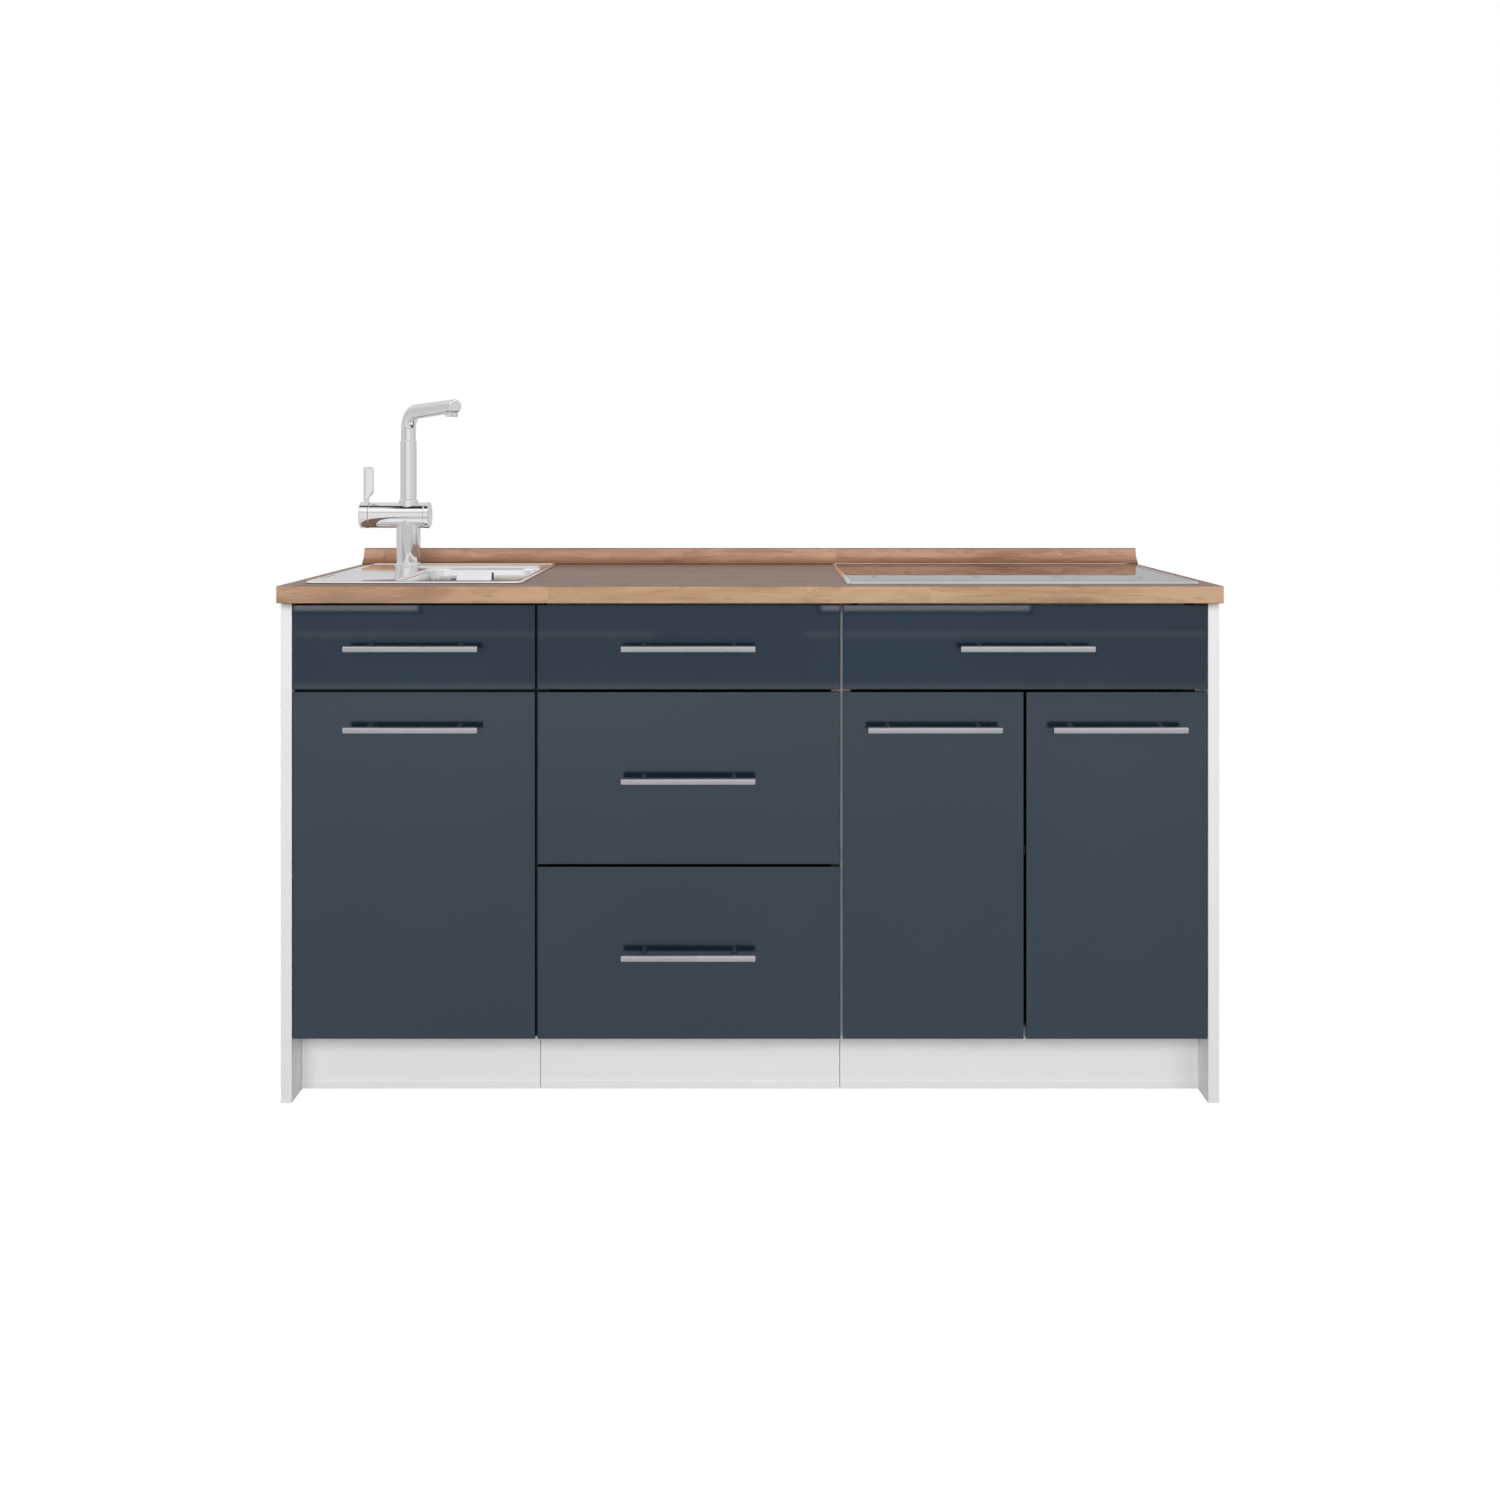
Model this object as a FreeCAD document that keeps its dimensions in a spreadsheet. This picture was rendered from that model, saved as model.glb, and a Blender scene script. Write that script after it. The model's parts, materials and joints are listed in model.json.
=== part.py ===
"""Kitchenette with sink and hob: three base units under one worktop, in millimetres.

The units are 400, 500 and 600 wide, from left to right.  X runs to the right along the
worktop, Y runs back to the wall, and Z runs up from the floor.  The origin is on the floor
under the middle of the outer box, whose front is the face of the bar handles.
"""
import FreeCAD, Part
import math
import os
import Sketcher
from FreeCAD import Placement, Rotation, Vector

os.makedirs("parts", exist_ok=True)
doc = FreeCAD.newDocument("kitchenette")
sheet = doc.addObject("Spreadsheet::Sheet", "Size")

# ---------------------------------------------------------------------------
# Driving dimensions
# ---------------------------------------------------------------------------
SIZES = {
    # worktop and the panels at its two ends
    "worktop_wide": 1536, "worktop_deep": 600, "worktop_thick": 28, "worktop_round": 2,
    "end_thick": 18, "handle_proud": 9, "front_setback": 25,
    # carcasses: board, depth, height, clearances
    "unit_one": 400, "unit_two": 500, "unit_three": 600,
    "board_thick": 16, "carcass_high": 820, "carcass_deep": 515, "front_buffer": 2,
    "back_thick": 3, "rail_deep": 90, "sink_rail_deep": 50, "rear_rail_high": 90,
    "shelf_high": 395, "shelf_inset": 30,
    "hob_rail_high": 782, "cross_rail_low": 655, "cross_rail_high": 70,
    "pin_radius": 2.5, "pin_long": 9,
    # plinth
    "plinth_high": 101, "plinth_clear": 3, "plinth_back": 56, "plinth_seam": 0.5,
    "lip_high": 12, "lip_proud": 1.5,
    # fronts
    "front_thick": 18, "front_round": 1.5, "front_low": 105, "front_top": 816,
    "front_gap": 4, "top_front_high": 139, "low_front_high": 282,
    # bar handles
    "bar_radius": 6, "bar_long": 218, "bar_chamfer": 0.8, "bar_stand": 28,
    "post_radius": 4.5, "post_spacing": 148, "door_handle_drop": 58,
    # cup hinges
    "cup_radius": 17.5, "cup_deep": 12, "cup_edge": 23, "cup_end": 90,
    "flange_long": 52, "flange_wide": 16, "flange_thick": 1.3,
    "arm_long": 62, "arm_wide": 12, "arm_high": 14, "plate_high": 44, "plate_deep": 36,
    "plate_thick": 5,
    # drawers: pressed steel sides on roller runners
    "runner_long": 450, "runner_start": 5, "runner_thick": 1.2, "runner_high": 28,
    "runner_flange": 10, "roller_radius": 7, "roller_wide": 6.5, "roller_pin": 2,
    "roller_play": 0.3, "side_inset": 13, "side_thick": 1.5, "side_lip": 10,
    "side_lip_up": 13, "side_ledge": 13, "side_rise": 28, "hem": 5,
    "shallow_side": 60, "top_side": 86, "deep_side": 150,
    "base_thick": 12, "drawer_back_thick": 12,
    # upstand
    "upstand_high": 30, "upstand_foot": 24, "upstand_top": 6, "upstand_lip": 4,
    "upstand_cove": 27, "upstand_cap": 2,
    # sink
    "sink_left": -738, "sink_wide": 360, "sink_front": 55, "sink_deep": 485,
    "sink_corner": 14, "rim_high": 3, "rim_wide": 7, "rim_round": 1.6, "deck_drop": 1.5,
    "sink_steel": 1.5, "sink_flange": 10, "bowl_left": -598, "bowl_wide": 205,
    "bowl_front": 103, "bowl_long": 318, "bowl_deep": 150, "bowl_corner": 35,
    "bowl_floor_round": 22, "waste_hole": 42, "waste_flange": 55, "overflow_hole": 12,
    # waste, trap and overflow
    "strainer_radius": 36, "strainer_deep": 42, "tail_radius": 20, "tail_long": 24,
    "waste_ring_high": 4, "waste_lip_gap": 0.3, "waste_floor": 3, "branch_down": 22,
    "basket_clear": 5, "basket_rim_down": 8, "basket_rim_gap": 1, "basket_short": 14,
    "basket_hole": 3.5, "basket_hole_ring": 19, "knob_radius": 5, "knob_head": 9,
    "knob_head_high": 3, "knob_head_down": 10, "trap_gap": 6, "trap_nut_wall": 6,
    "trap_nut_high": 20, "trap_nut_down": 12, "trap_cup_radius": 32, "trap_cup_high": 105,
    "trap_ring_wall": 3, "trap_ring_high": 16, "trap_ring_down": 34, "outlet_radius": 20,
    "outlet_down": 22, "outlet_short": 2, "outlet_bore": 70, "sleeve_wall": 5,
    "sleeve_long": 24, "sleeve_out": 40, "pipe_wall": 2, "overflow_down": 26,
    "overflow_tube": 10, "chamber_wall": 5, "branch_long": 10,
    # clips under the sink
    "clip_thick": 4, "clip_wide": 14, "clip_high": 6, "clip_foot": 10,
    # tap
    "tap_left": -660, "tap_back": 500, "tap_foot": 26, "tap_foot_high": 5,
    "tap_column": 23, "tap_axis_high": 98, "valve_radius": 24.6, "valve_right": 41.5,
    "valve_left": 74.2, "cap_radius": 25.2, "cap_long": 9.5, "collar_radius": 18.5,
    "collar_high": 5, "spigot_radius": 11, "spigot_deep": 26, "running_gap": 0.05,
    "shank_radius": 16, "shank_long": 62, "tap_hole": 17.5, "inlet_radius": 4.5,
    "inlet_deep": 18, "inlet_spread": 7, "nut_radius": 27, "nut_high": 9,
    "washer_high": 3,
    # spout
    "riser_radius": 15.5, "neck_radius": 14, "spout_seam": 241.5, "spout_knee": 296,
    "knee_radius": 34, "arm_run": 150, "arm_end_radius": 12.8, "arm_end_round": 3, "arm_rise": 2.5,
    "spout_turn": 50, "spout_gap": 0.4, "spigot_clear": 2, "seam_chamfer": 0.8,
    "aerator_radius": 11.5, "aerator_high": 9, "aerator_back": 16, "aerator_step": 1.5,
    "aerator_stem": 14, "aerator_sunk": 3, "aerator_wall": 4,
    # lever
    "hub_radius": 25.2, "hub_long": 17.5, "hub_gap": 0.4, "hub_spigot": 10,
    "hub_spigot_long": 14, "hub_round": 1.5, "lever_back": 6.6, "lever_pivot_up": 12,
    "lever_neck": 4.5, "neck_below": 3, "lever_slot": 4.9, "slot_inner": 5.4,
    "slot_outer": 9.6, "slot_floor": 7, "tilt_pin_radius": 1.2, "tilt_pin_half": 12,
    "blade_wide": 19.5, "blade_thick": 6, "blade_foot": 18, "blade_shoulder": 31,
    "blade_top": 81, "blade_round": 1.8,
    # hob
    "hob_left": 160, "hob_wide": 578, "hob_front": 30, "hob_deep": 510,
    "hob_frame": 6, "hob_frame_high": 4.5, "hob_glass_thick": 4, "hob_cut_inset": 12,
    "hob_box_inset": 18, "hob_box_deep": 40, "gland_radius": 9, "gland_bore": 6,
    "gland_long": 12, "gland_in": 60, "gland_back": 15,
}


class Dim:
    """A length that carries its value and the sheet expression that drives it."""

    def __init__(self, value, text):
        self.value = float(value)
        self.text = text

    @staticmethod
    def of(other):
        """A plain number becomes a Dim with that number as its expression."""
        return other if isinstance(other, Dim) else Dim(other, f"{other:g}")

    def joined(self, symbol, other, value):
        return Dim(value, f"({self.text} {symbol} {other.text})")

    def __add__(self, other):
        other = Dim.of(other)
        return self.joined("+", other, self.value + other.value)

    def __sub__(self, other):
        other = Dim.of(other)
        return self.joined("-", other, self.value - other.value)

    def __mul__(self, other):
        other = Dim.of(other)
        return self.joined("*", other, self.value * other.value)

    def __truediv__(self, other):
        other = Dim.of(other)
        return self.joined("/", other, self.value / other.value)

    def __neg__(self):
        return Dim(-self.value, f"(0 - {self.text})")

    def __float__(self):
        return self.value


def fill_sheet():
    """Each driving dimension has a row: its name, its number and an alias."""
    for row, (name, number) in enumerate(SIZES.items(), start=1):
        sheet.set(f"A{row}", name)
        sheet.set(f"B{row}", f"{number:g}")
        sheet.setAlias(f"B{row}", name)
    doc.recompute()


def size(name):
    """The driving dimension of that name."""
    return Dim(sheet.get(name), f"Size.{name}")


fill_sheet()

# ---------------------------------------------------------------------------
# Helpers: everything they make is tied to the sheet by expressions
# ---------------------------------------------------------------------------
NODES = {}
ALONG = {
    "x": Rotation(Vector(0, 1, 0), 90),
    "y": Rotation(Vector(1, 0, 0), -90),
    "z": Rotation(),
}


def bind(thing, name, length):
    """Tie one property of an object to its expression."""
    thing.setExpression(name, Dim.of(length).text)


def place(thing, x=0, y=0, z=0, turn=None):
    """Put an object at (x, y, z), turned if need be."""
    x, y, z = Dim.of(x), Dim.of(y), Dim.of(z)
    thing.Placement = Placement(Vector(x.value, y.value, z.value), turn or Rotation())
    for axis, length in (("x", x), ("y", y), ("z", z)):
        bind(thing, f"Placement.Base.{axis}", length)
    return thing


def keep(thing, label):
    """Make an object a sub-part of the kitchenette."""
    thing.Label = label
    NODES[label] = thing
    return thing


def box(label, x, y, z, wide, deep, high):
    """A rectangular board."""
    board = doc.addObject("Part::Box", label)
    for name, length in (("Length", wide), ("Width", deep), ("Height", high)):
        bind(board, name, length)
    return place(board, x, y, z)


def rod(label, radius, long, x, y, z, axis="z"):
    """A round bar that runs from (x, y, z) along an axis."""
    bar = doc.addObject("Part::Cylinder", label)
    bind(bar, "Radius", radius)
    bind(bar, "Height", long)
    return place(bar, x, y, z, ALONG[axis])


def fuse(label, *pieces):
    """Pieces that are one solid."""
    whole = doc.addObject("Part::MultiFuse", label)
    whole.Shapes = list(pieces)
    return whole


def cut(label, base, *tools):
    """A solid with tools taken out of it."""
    whole = doc.addObject("Part::Cut", label)
    whole.Base = base
    whole.Tool = tools[0] if len(tools) == 1 else fuse(label + "_tools", *tools)
    return whole


def group(label, pieces):
    """Separate solids that share a node."""
    whole = doc.addObject("Part::Compound", label)
    whole.Links = list(pieces)
    return keep(whole, label)


def body(label, x=0, y=0, z=0, turn=None):
    """An empty PartDesign body at a place."""
    return place(doc.addObject("PartDesign::Body", label), x, y, z, turn)


def sketch_on(owner, plane, offset=0):
    """A sketch on one of the body's own origin planes, or parallel to it."""
    sketch = owner.newObject("Sketcher::SketchObject", "sketch")
    support = next(f for f in owner.Origin.OriginFeatures if f.Role == plane + "_Plane")
    sketch.AttachmentSupport = [(support, "")]
    sketch.MapMode = "FlatFace"
    offset = Dim.of(offset)
    sketch.AttachmentOffset = Placement(Vector(0, 0, offset.value), Rotation())
    bind(sketch, "AttachmentOffset.Base.z", offset)
    return sketch


def pin(sketch, element, point, u, v):
    """Hold a point of a sketch at (u, v) from the sketch's origin."""
    for kind, axis, length in (("DistanceX", -2, Dim.of(u)), ("DistanceY", -1, Dim.of(v))):
        if abs(length.value) < 1e-9:
            sketch.addConstraint(Sketcher.Constraint("PointOnObject", element, point, axis))
            continue
        held = Sketcher.Constraint(kind, -1, 1, element, point, length.value)
        number = sketch.addConstraint(held)
        sketch.setExpression(f"Constraints[{number}]", length.text)


def hold_radius(sketch, element, radius):
    """Give an arc or circle its radius."""
    held = Sketcher.Constraint("Radius", element, abs(float(radius)))
    number = sketch.addConstraint(held)
    sketch.setExpression(f"Constraints[{number}]", Dim.of(radius).text)


def arc_between(start, end, radius, left):
    """The short arc from start to end with its centre on the left or right of the way."""
    chord = end - start
    normal = Vector(-chord.y, chord.x, 0).normalize() * (1 if left else -1)
    reach = math.sqrt(radius**2 - (chord.Length / 2) ** 2)
    centre = (start + end) / 2 + normal * reach
    first, last = (start, end) if left else (end, start)
    a = math.atan2(first.y - centre.y, first.x - centre.x)
    b = math.atan2(last.y - centre.y, last.x - centre.x)
    if b < a:
        b += 2 * math.pi
    return Part.ArcOfCircle(Part.Circle(centre, Vector(0, 0, 1), radius), a, b)


def outline(owner, plane, points, offset=0, arcs=None, closed=True):
    """An outline through (u, v) corners.

    arcs maps a side's number to (radius, centre on the left); other sides are straight.
    """
    arcs = arcs or {}
    sketch = sketch_on(owner, plane, offset)
    corners = [Vector(float(u), float(v), 0) for u, v in points]
    count = len(corners) if closed else len(corners) - 1
    ends = {}
    for side in range(count):
        start, end = corners[side], corners[(side + 1) % len(corners)]
        if side in arcs:
            radius, left = arcs[side]
            sketch.addGeometry(arc_between(start, end, float(radius), left), False)
            hold_radius(sketch, side, radius)
            ends[side] = (1, 2) if left else (2, 1)
        else:
            sketch.addGeometry(Part.LineSegment(start, end), False)
            ends[side] = (1, 2)
    for side in range(count if closed else count - 1):
        after = (side + 1) % count
        joint = Sketcher.Constraint("Coincident", side, ends[side][1], after, ends[after][0])
        sketch.addConstraint(joint)
    for side in range(count):
        pin(sketch, side, ends[side][0], *points[side])
    if not closed:
        pin(sketch, count - 1, ends[count - 1][1], *points[-1])
    return sketch


def rectangle(owner, plane, u, v, wide, high, offset=0):
    """A rectangle with its low corner at (u, v)."""
    u, v = Dim.of(u), Dim.of(v)
    points = [(u, v), (u + wide, v), (u + wide, v + high), (u, v + high)]
    return outline(owner, plane, points, offset)


def rounded(owner, u, v, wide, deep, corner, offset=0):
    """A level rectangle with its low corner at (u, v) and round corners."""
    u, v, right, far = Dim.of(u), Dim.of(v), wide + u, deep + v
    points = [
        (u + corner, v), (right - corner, v), (right, v + corner), (right, far - corner),
        (right - corner, far), (u + corner, far), (u, far - corner), (u, v + corner),
    ]
    arcs = {side: (corner, True) for side in (1, 3, 5, 7)}
    return outline(owner, "XY", points, offset, arcs)


def circle(owner, plane, u, v, radius, offset=0):
    """A circle round (u, v)."""
    sketch = sketch_on(owner, plane, offset)
    centre = Vector(float(u), float(v), 0)
    sketch.addGeometry(Part.Circle(centre, Vector(0, 0, 1), float(radius)), False)
    pin(sketch, 0, 3, u, v)
    hold_radius(sketch, 0, radius)
    return sketch


def pad(owner, sketch, long, back=False):
    """Material from the sketch along its normal, or back from it."""
    feature = owner.newObject("PartDesign::Pad", "pad")
    feature.Profile = sketch
    feature.Reversed = back
    bind(feature, "Length", long)
    return feature


def pocket(owner, sketch, deep, forward=False):
    """Cut from the sketch against its normal, or forward along it; it has to cut something."""
    doc.recompute()
    before = owner.Tip.Shape.Volume
    feature = owner.newObject("PartDesign::Pocket", "pocket")
    feature.Profile = sketch
    feature.Reversed = forward
    bind(feature, "Length", deep)
    doc.recompute()
    if feature.Shape.Volume > before - 1:
        raise RuntimeError(f"a pocket of {owner.Label} cuts nothing")
    return feature


def dress(owner, kind, amount, chosen):
    """A Fillet or Chamfer on the edges for which chosen(edge) holds."""
    doc.recompute()
    base = owner.Tip
    names = [f"Edge{n}" for n, e in enumerate(base.Shape.Edges, 1) if chosen(e)]
    if not names:
        raise RuntimeError(f"no edge of {owner.Label} to dress")
    feature = owner.newObject("PartDesign::" + kind, kind.lower())
    feature.Base = (base, names)
    bind(feature, "Radius" if kind == "Fillet" else "Size", amount)
    doc.recompute()
    return feature


def runs(edge, axis):
    """True for a straight edge along an axis."""
    if not isinstance(edge.Curve, Part.Line):
        return False
    return abs(getattr(edge.Curve.Direction, axis)) > 0.999


def lies(edge, axis, level):
    """True for an edge whose box is flat at a level of an axis."""
    bounds = edge.BoundBox
    low, high = getattr(bounds, axis.upper() + "Min"), getattr(bounds, axis.upper() + "Max")
    return abs(low - float(level)) < 1e-3 and abs(high - float(level)) < 1e-3


# ---------------------------------------------------------------------------
# The main planes
# ---------------------------------------------------------------------------
worktop_wide, worktop_deep = size("worktop_wide"), size("worktop_deep")
board, front_thick = size("board_thick"), size("front_thick")
carcass_high, carcass_deep = size("carcass_high"), size("carcass_deep")

edge_y = -(worktop_deep - size("handle_proud")) / 2
wall_y = edge_y + worktop_deep
front_y = edge_y + size("front_setback")
carcass_y = front_y + front_thick + size("front_buffer")
carcass_back_y = carcass_y + carcass_deep
worktop_x = -worktop_wide / 2
worktop_top = carcass_high + size("worktop_thick")
floor_top = size("front_low") - 2 + board

unit_x = [worktop_x + size("end_thick")]
for name in ("unit_one", "unit_two", "unit_three"):
    unit_x.append(unit_x[-1] + size(name))
unit_wide = [size("unit_one"), size("unit_two"), size("unit_three")]

sink_x, sink_y = size("sink_left"), edge_y + size("sink_front")
deck_z = worktop_top + size("rim_high") - size("deck_drop")
hob_x, hob_y = size("hob_left"), edge_y + size("hob_front")


# ---------------------------------------------------------------------------
# Worktop, upstand and end panels
# ---------------------------------------------------------------------------
def make_worktop():
    """One board with a rounded front edge and two cut-outs."""
    top = body("worktop", worktop_x, edge_y, carcass_high)
    pad(top, rectangle(top, "XY", 0, 0, worktop_wide, worktop_deep), size("worktop_thick"))
    dress(top, "Fillet", size("worktop_round"),
          lambda e: runs(e, "x") and lies(e, "y", 0))
    flange = size("sink_flange")
    sink_hole = rectangle(
        top, "XY", sink_x - worktop_x + flange, size("sink_front") + flange,
        size("sink_wide") - flange * 2, size("sink_deep") - flange * 2,
        size("worktop_thick"))
    pocket(top, sink_hole, size("worktop_thick"))
    inset = size("hob_cut_inset")
    hob_hole = rectangle(
        top, "XY", hob_x - worktop_x + inset, size("hob_front") + inset,
        size("hob_wide") - inset * 2, size("hob_deep") - inset * 2, size("worktop_thick"))
    pocket(top, hob_hole, size("worktop_thick"))
    keep(top, "worktop")


def upstand_piece(label, x, long):
    """A length of the coved strip that closes the joint between worktop and wall."""
    strip = body(label, x, wall_y, worktop_top)
    foot, high = size("upstand_foot"), size("upstand_high")
    corners = [(-foot, 0), (0, 0), (0, high), (-size("upstand_top"), high),
               (-foot, size("upstand_lip"))]
    shape = outline(strip, "YZ", corners, arcs={3: (size("upstand_cove"), False)})
    pad(strip, shape, long)
    return strip


def make_upstand():
    """The strip and its two end caps."""
    cap = size("upstand_cap")
    keep(upstand_piece("upstand_strip", worktop_x + cap, worktop_wide - cap * 2),
         "upstand_strip")
    left = upstand_piece("cap_left", worktop_x, cap)
    right = upstand_piece("cap_right", -worktop_x - cap, cap)
    group("upstand_end_caps", [left, right])


def make_end_panels():
    """A panel at each end, from the floor to the worktop and back to the wall."""
    thick, deep = size("end_thick"), worktop_deep - size("front_setback")
    for label, x in (("end_panel_left", worktop_x), ("end_panel_right", unit_x[3])):
        keep(box(label, x, front_y, 0, thick, deep, carcass_high), label)


# ---------------------------------------------------------------------------
# Carcasses
# ---------------------------------------------------------------------------
def side_panel(label, x):
    """A carcass side that stands on the floor, with the toe space cut out of its front."""
    side = body(label, x)
    toe_y = front_y + size("plinth_back") + board
    toe_z = size("front_low") - 2
    corners = [(toe_y, 0), (carcass_back_y, 0), (carcass_back_y, carcass_high),
               (carcass_y, carcass_high), (carcass_y, toe_z), (toe_y, toe_z)]
    pad(side, outline(side, "YZ", corners), board)
    return side


def make_carcasses():
    """Sides, bottoms, backs and rails; a cross rail carries the fixed sink front."""
    floor_z = floor_top - board
    bottoms, rails = [], []
    for unit in range(3):
        number = unit + 1
        left, wide = unit_x[unit], unit_wide[unit]
        inner_x, inner_wide = left + board, wide - board * 2
        sides = [side_panel(f"side_{number}_left", left),
                 side_panel(f"side_{number}_right", left + wide - board)]
        group(f"unit_{number}_sides", sides)
        bottoms.append(box(f"bottom_{number}", inner_x, carcass_y, floor_z,
                           inner_wide, carcass_deep, board))
        front_rail_z = size("hob_rail_high") if unit == 2 else carcass_high - board
        front_rail_deep = size("sink_rail_deep") if unit == 0 else size("rail_deep")
        rails.append(box(f"front_rail_{number}", inner_x, carcass_y, front_rail_z,
                         inner_wide, front_rail_deep, board))
        rear_high = size("rear_rail_high")
        rails.append(box(f"rear_rail_{number}", inner_x, carcass_back_y - board,
                         carcass_high - rear_high, inner_wide, board, rear_high))
        if unit > 0:
            back_high = carcass_high - floor_top - size("rear_rail_high")
            back = box(f"back_{number}", inner_x, carcass_back_y - size("back_thick"),
                       floor_top, inner_wide, size("back_thick"), back_high)
            keep(back, f"unit_{number}_back")
    group("carcass_bottoms", bottoms)
    rails.append(box("cross_rail", unit_x[0] + board, carcass_y, size("cross_rail_low"),
                     unit_wide[0] - board * 2, board, size("cross_rail_high")))
    group("carcass_rails", rails)


def make_shelf():
    """The shelf behind the two doors rests on four pins."""
    play, inset = 1, size("shelf_inset")
    inner_x, inner_wide = unit_x[2] + board, unit_wide[2] - board * 2
    deep = carcass_deep - inset - size("back_thick") - play
    shelf_z = size("shelf_high")
    keep(box("unit_3_shelf", inner_x + play, carcass_y + inset, shelf_z,
             inner_wide - play * 2, deep, board), "unit_3_shelf")
    pins = []
    radius, long = size("pin_radius"), size("pin_long")
    for number, along in enumerate((0.15, 0.85)):
        y = carcass_y + inset + deep * along
        z = shelf_z - radius
        pins.append(rod(f"pin_left_{number}", radius, long, inner_x, y, z, "x"))
        pins.append(rod(f"pin_right_{number}", radius, long,
                        inner_x + inner_wide - long, y, z, "x"))
    group("shelf_pins", pins)


def make_plinth():
    """Three recessed plinth boards, each with a sealing lip along its foot."""
    boards = []
    seam, low = size("plinth_seam"), size("plinth_clear")
    y = front_y + size("plinth_back")
    lip_top = low + size("lip_high")
    for unit in range(3):
        piece = body(f"plinth_{unit + 1}", unit_x[unit] + seam)
        corners = [(y - size("lip_proud"), low), (y + board, low),
                   (y + board, size("plinth_high")), (y, size("plinth_high")),
                   (y, lip_top), (y - size("lip_proud"), lip_top)]
        pad(piece, outline(piece, "YZ", corners), unit_wide[unit] - seam * 2)
        boards.append(piece)
    group("plinth_boards", boards)


# ---------------------------------------------------------------------------
# Fronts and handles
# ---------------------------------------------------------------------------
def front_panel(label, x, z, wide, high, cups=()):
    """A front with softened edges; cups lists the (x, z) centres of hinge cup holes."""
    panel = body(label, x, front_y + front_thick, z)
    pad(panel, rectangle(panel, "XZ", 0, 0, wide, high), front_thick)
    dress(panel, "Fillet", size("front_round"), lambda e: lies(e, "y", -front_thick))
    for u, v in cups:
        pocket(panel, circle(panel, "XZ", u, v, size("cup_radius")), size("cup_deep"), True)
    return keep(panel, label)


def bar_handle(label, x, z):
    """A round bar on two posts; x and z are the bar's centre."""
    reach, half = size("bar_stand"), size("post_spacing") / 2
    handle = body(label, x, front_y, z)
    long = size("bar_long")
    pad(handle, circle(handle, "YZ", -reach, 0, size("bar_radius"), -long / 2), long)
    dress(handle, "Chamfer", size("bar_chamfer"), lambda e: not runs(e, "x"))
    for u in (-half, half):
        pad(handle, circle(handle, "XZ", u, 0, size("post_radius")), reach)
    return keep(handle, label)


def make_sink_front():
    """The fixed front over the sink cupboard, with its handle."""
    gap, high = size("front_gap"), size("top_front_high")
    z = size("front_top") - high
    front_panel("sink_front_panel", unit_x[0] + gap / 2, z, unit_wide[0] - gap, high)
    bar_handle("sink_front_handle", unit_x[0] + unit_wide[0] / 2, z + high / 2)


# ---------------------------------------------------------------------------
# Doors and cup hinges
# ---------------------------------------------------------------------------
def hinge_cup(label, x, z):
    """A cup in the back of a door, with the flange that holds it."""
    y = front_y + front_thick
    radius, deep = size("cup_radius"), size("cup_deep")
    cup = rod(label + "_cup", radius, deep, x, y - deep, z, "y")
    hollow = rod(label + "_hollow", radius - 2, deep, x, y - deep + 1.5, z, "y")
    flange = box(label + "_flange", x - size("flange_wide") / 2, y,
                 z - size("flange_long") / 2, size("flange_wide"), size("flange_thick"),
                 size("flange_long"))
    return cut(label, fuse(label + "_whole", cup, flange),
               hollow)


def hinge_arm(label, wall_x, right, z):
    """The plate screwed to the carcass side and the arm that it carries."""
    thick, wide = size("plate_thick"), size("arm_wide")
    plate_x = wall_x - thick if right else wall_x
    arm_x = wall_x - thick - wide if right else wall_x + thick
    plate = box(label + "_plate", plate_x, carcass_y + 20, z - size("plate_high") / 2,
                thick, size("plate_deep"), size("plate_high"))
    arm = box(label + "_arm", arm_x, carcass_y + 2, z - size("arm_high") / 2,
              wide, size("arm_long"), size("arm_high"))
    return fuse(label, plate, arm)


def make_doors():
    """One door under the sink and a pair under the hob drawer."""
    gap, low = size("front_gap"), size("front_low")
    high = size("front_top") - size("top_front_high") - gap - low
    half = unit_wide[2] / 2
    doors = [
        ("sink_door", unit_x[0], unit_wide[0], False),
        ("hob_door_left", unit_x[2], half, False),
        ("hob_door_right", unit_x[2] + half, half, True),
    ]
    arms = []
    for label, left, wide, hung_right in doors:
        x, panel_wide = left + gap / 2, wide - gap
        edge = size("cup_edge")
        u = panel_wide - edge if hung_right else edge
        levels = (size("cup_end"), high - size("cup_end"))
        front_panel(label, x, low, panel_wide, high, [(u, v) for v in levels])
        bar_handle(label + "_handle", left + wide / 2, low + high - size("door_handle_drop"))
        cups = [hinge_cup(f"{label}_hinge_{n}", x + u, low + v)
                for n, v in enumerate(levels)]
        group(label + "_hinge_cups", cups)
        wall_x = left + wide - board if hung_right else left + board
        arms += [hinge_arm(f"{label}_arm_{n}", wall_x, hung_right, low + v)
                 for n, v in enumerate(levels)]
    group("hinge_arms", arms)


# ---------------------------------------------------------------------------
# Drawers: pressed steel sides on rollers
# ---------------------------------------------------------------------------
def roller(label, x, y, z, pin_x):
    """A wheel on a short pin; pin_x is where the pin starts."""
    wheel = rod(label + "_wheel", size("roller_radius"), size("roller_wide"), x, y, z, "x")
    pin_long = size("side_inset") - size("runner_thick") - 1
    axle = rod(label + "_axle", size("roller_pin"), pin_long, pin_x, y, z, "x")
    return fuse(label, wheel, axle)


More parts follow.
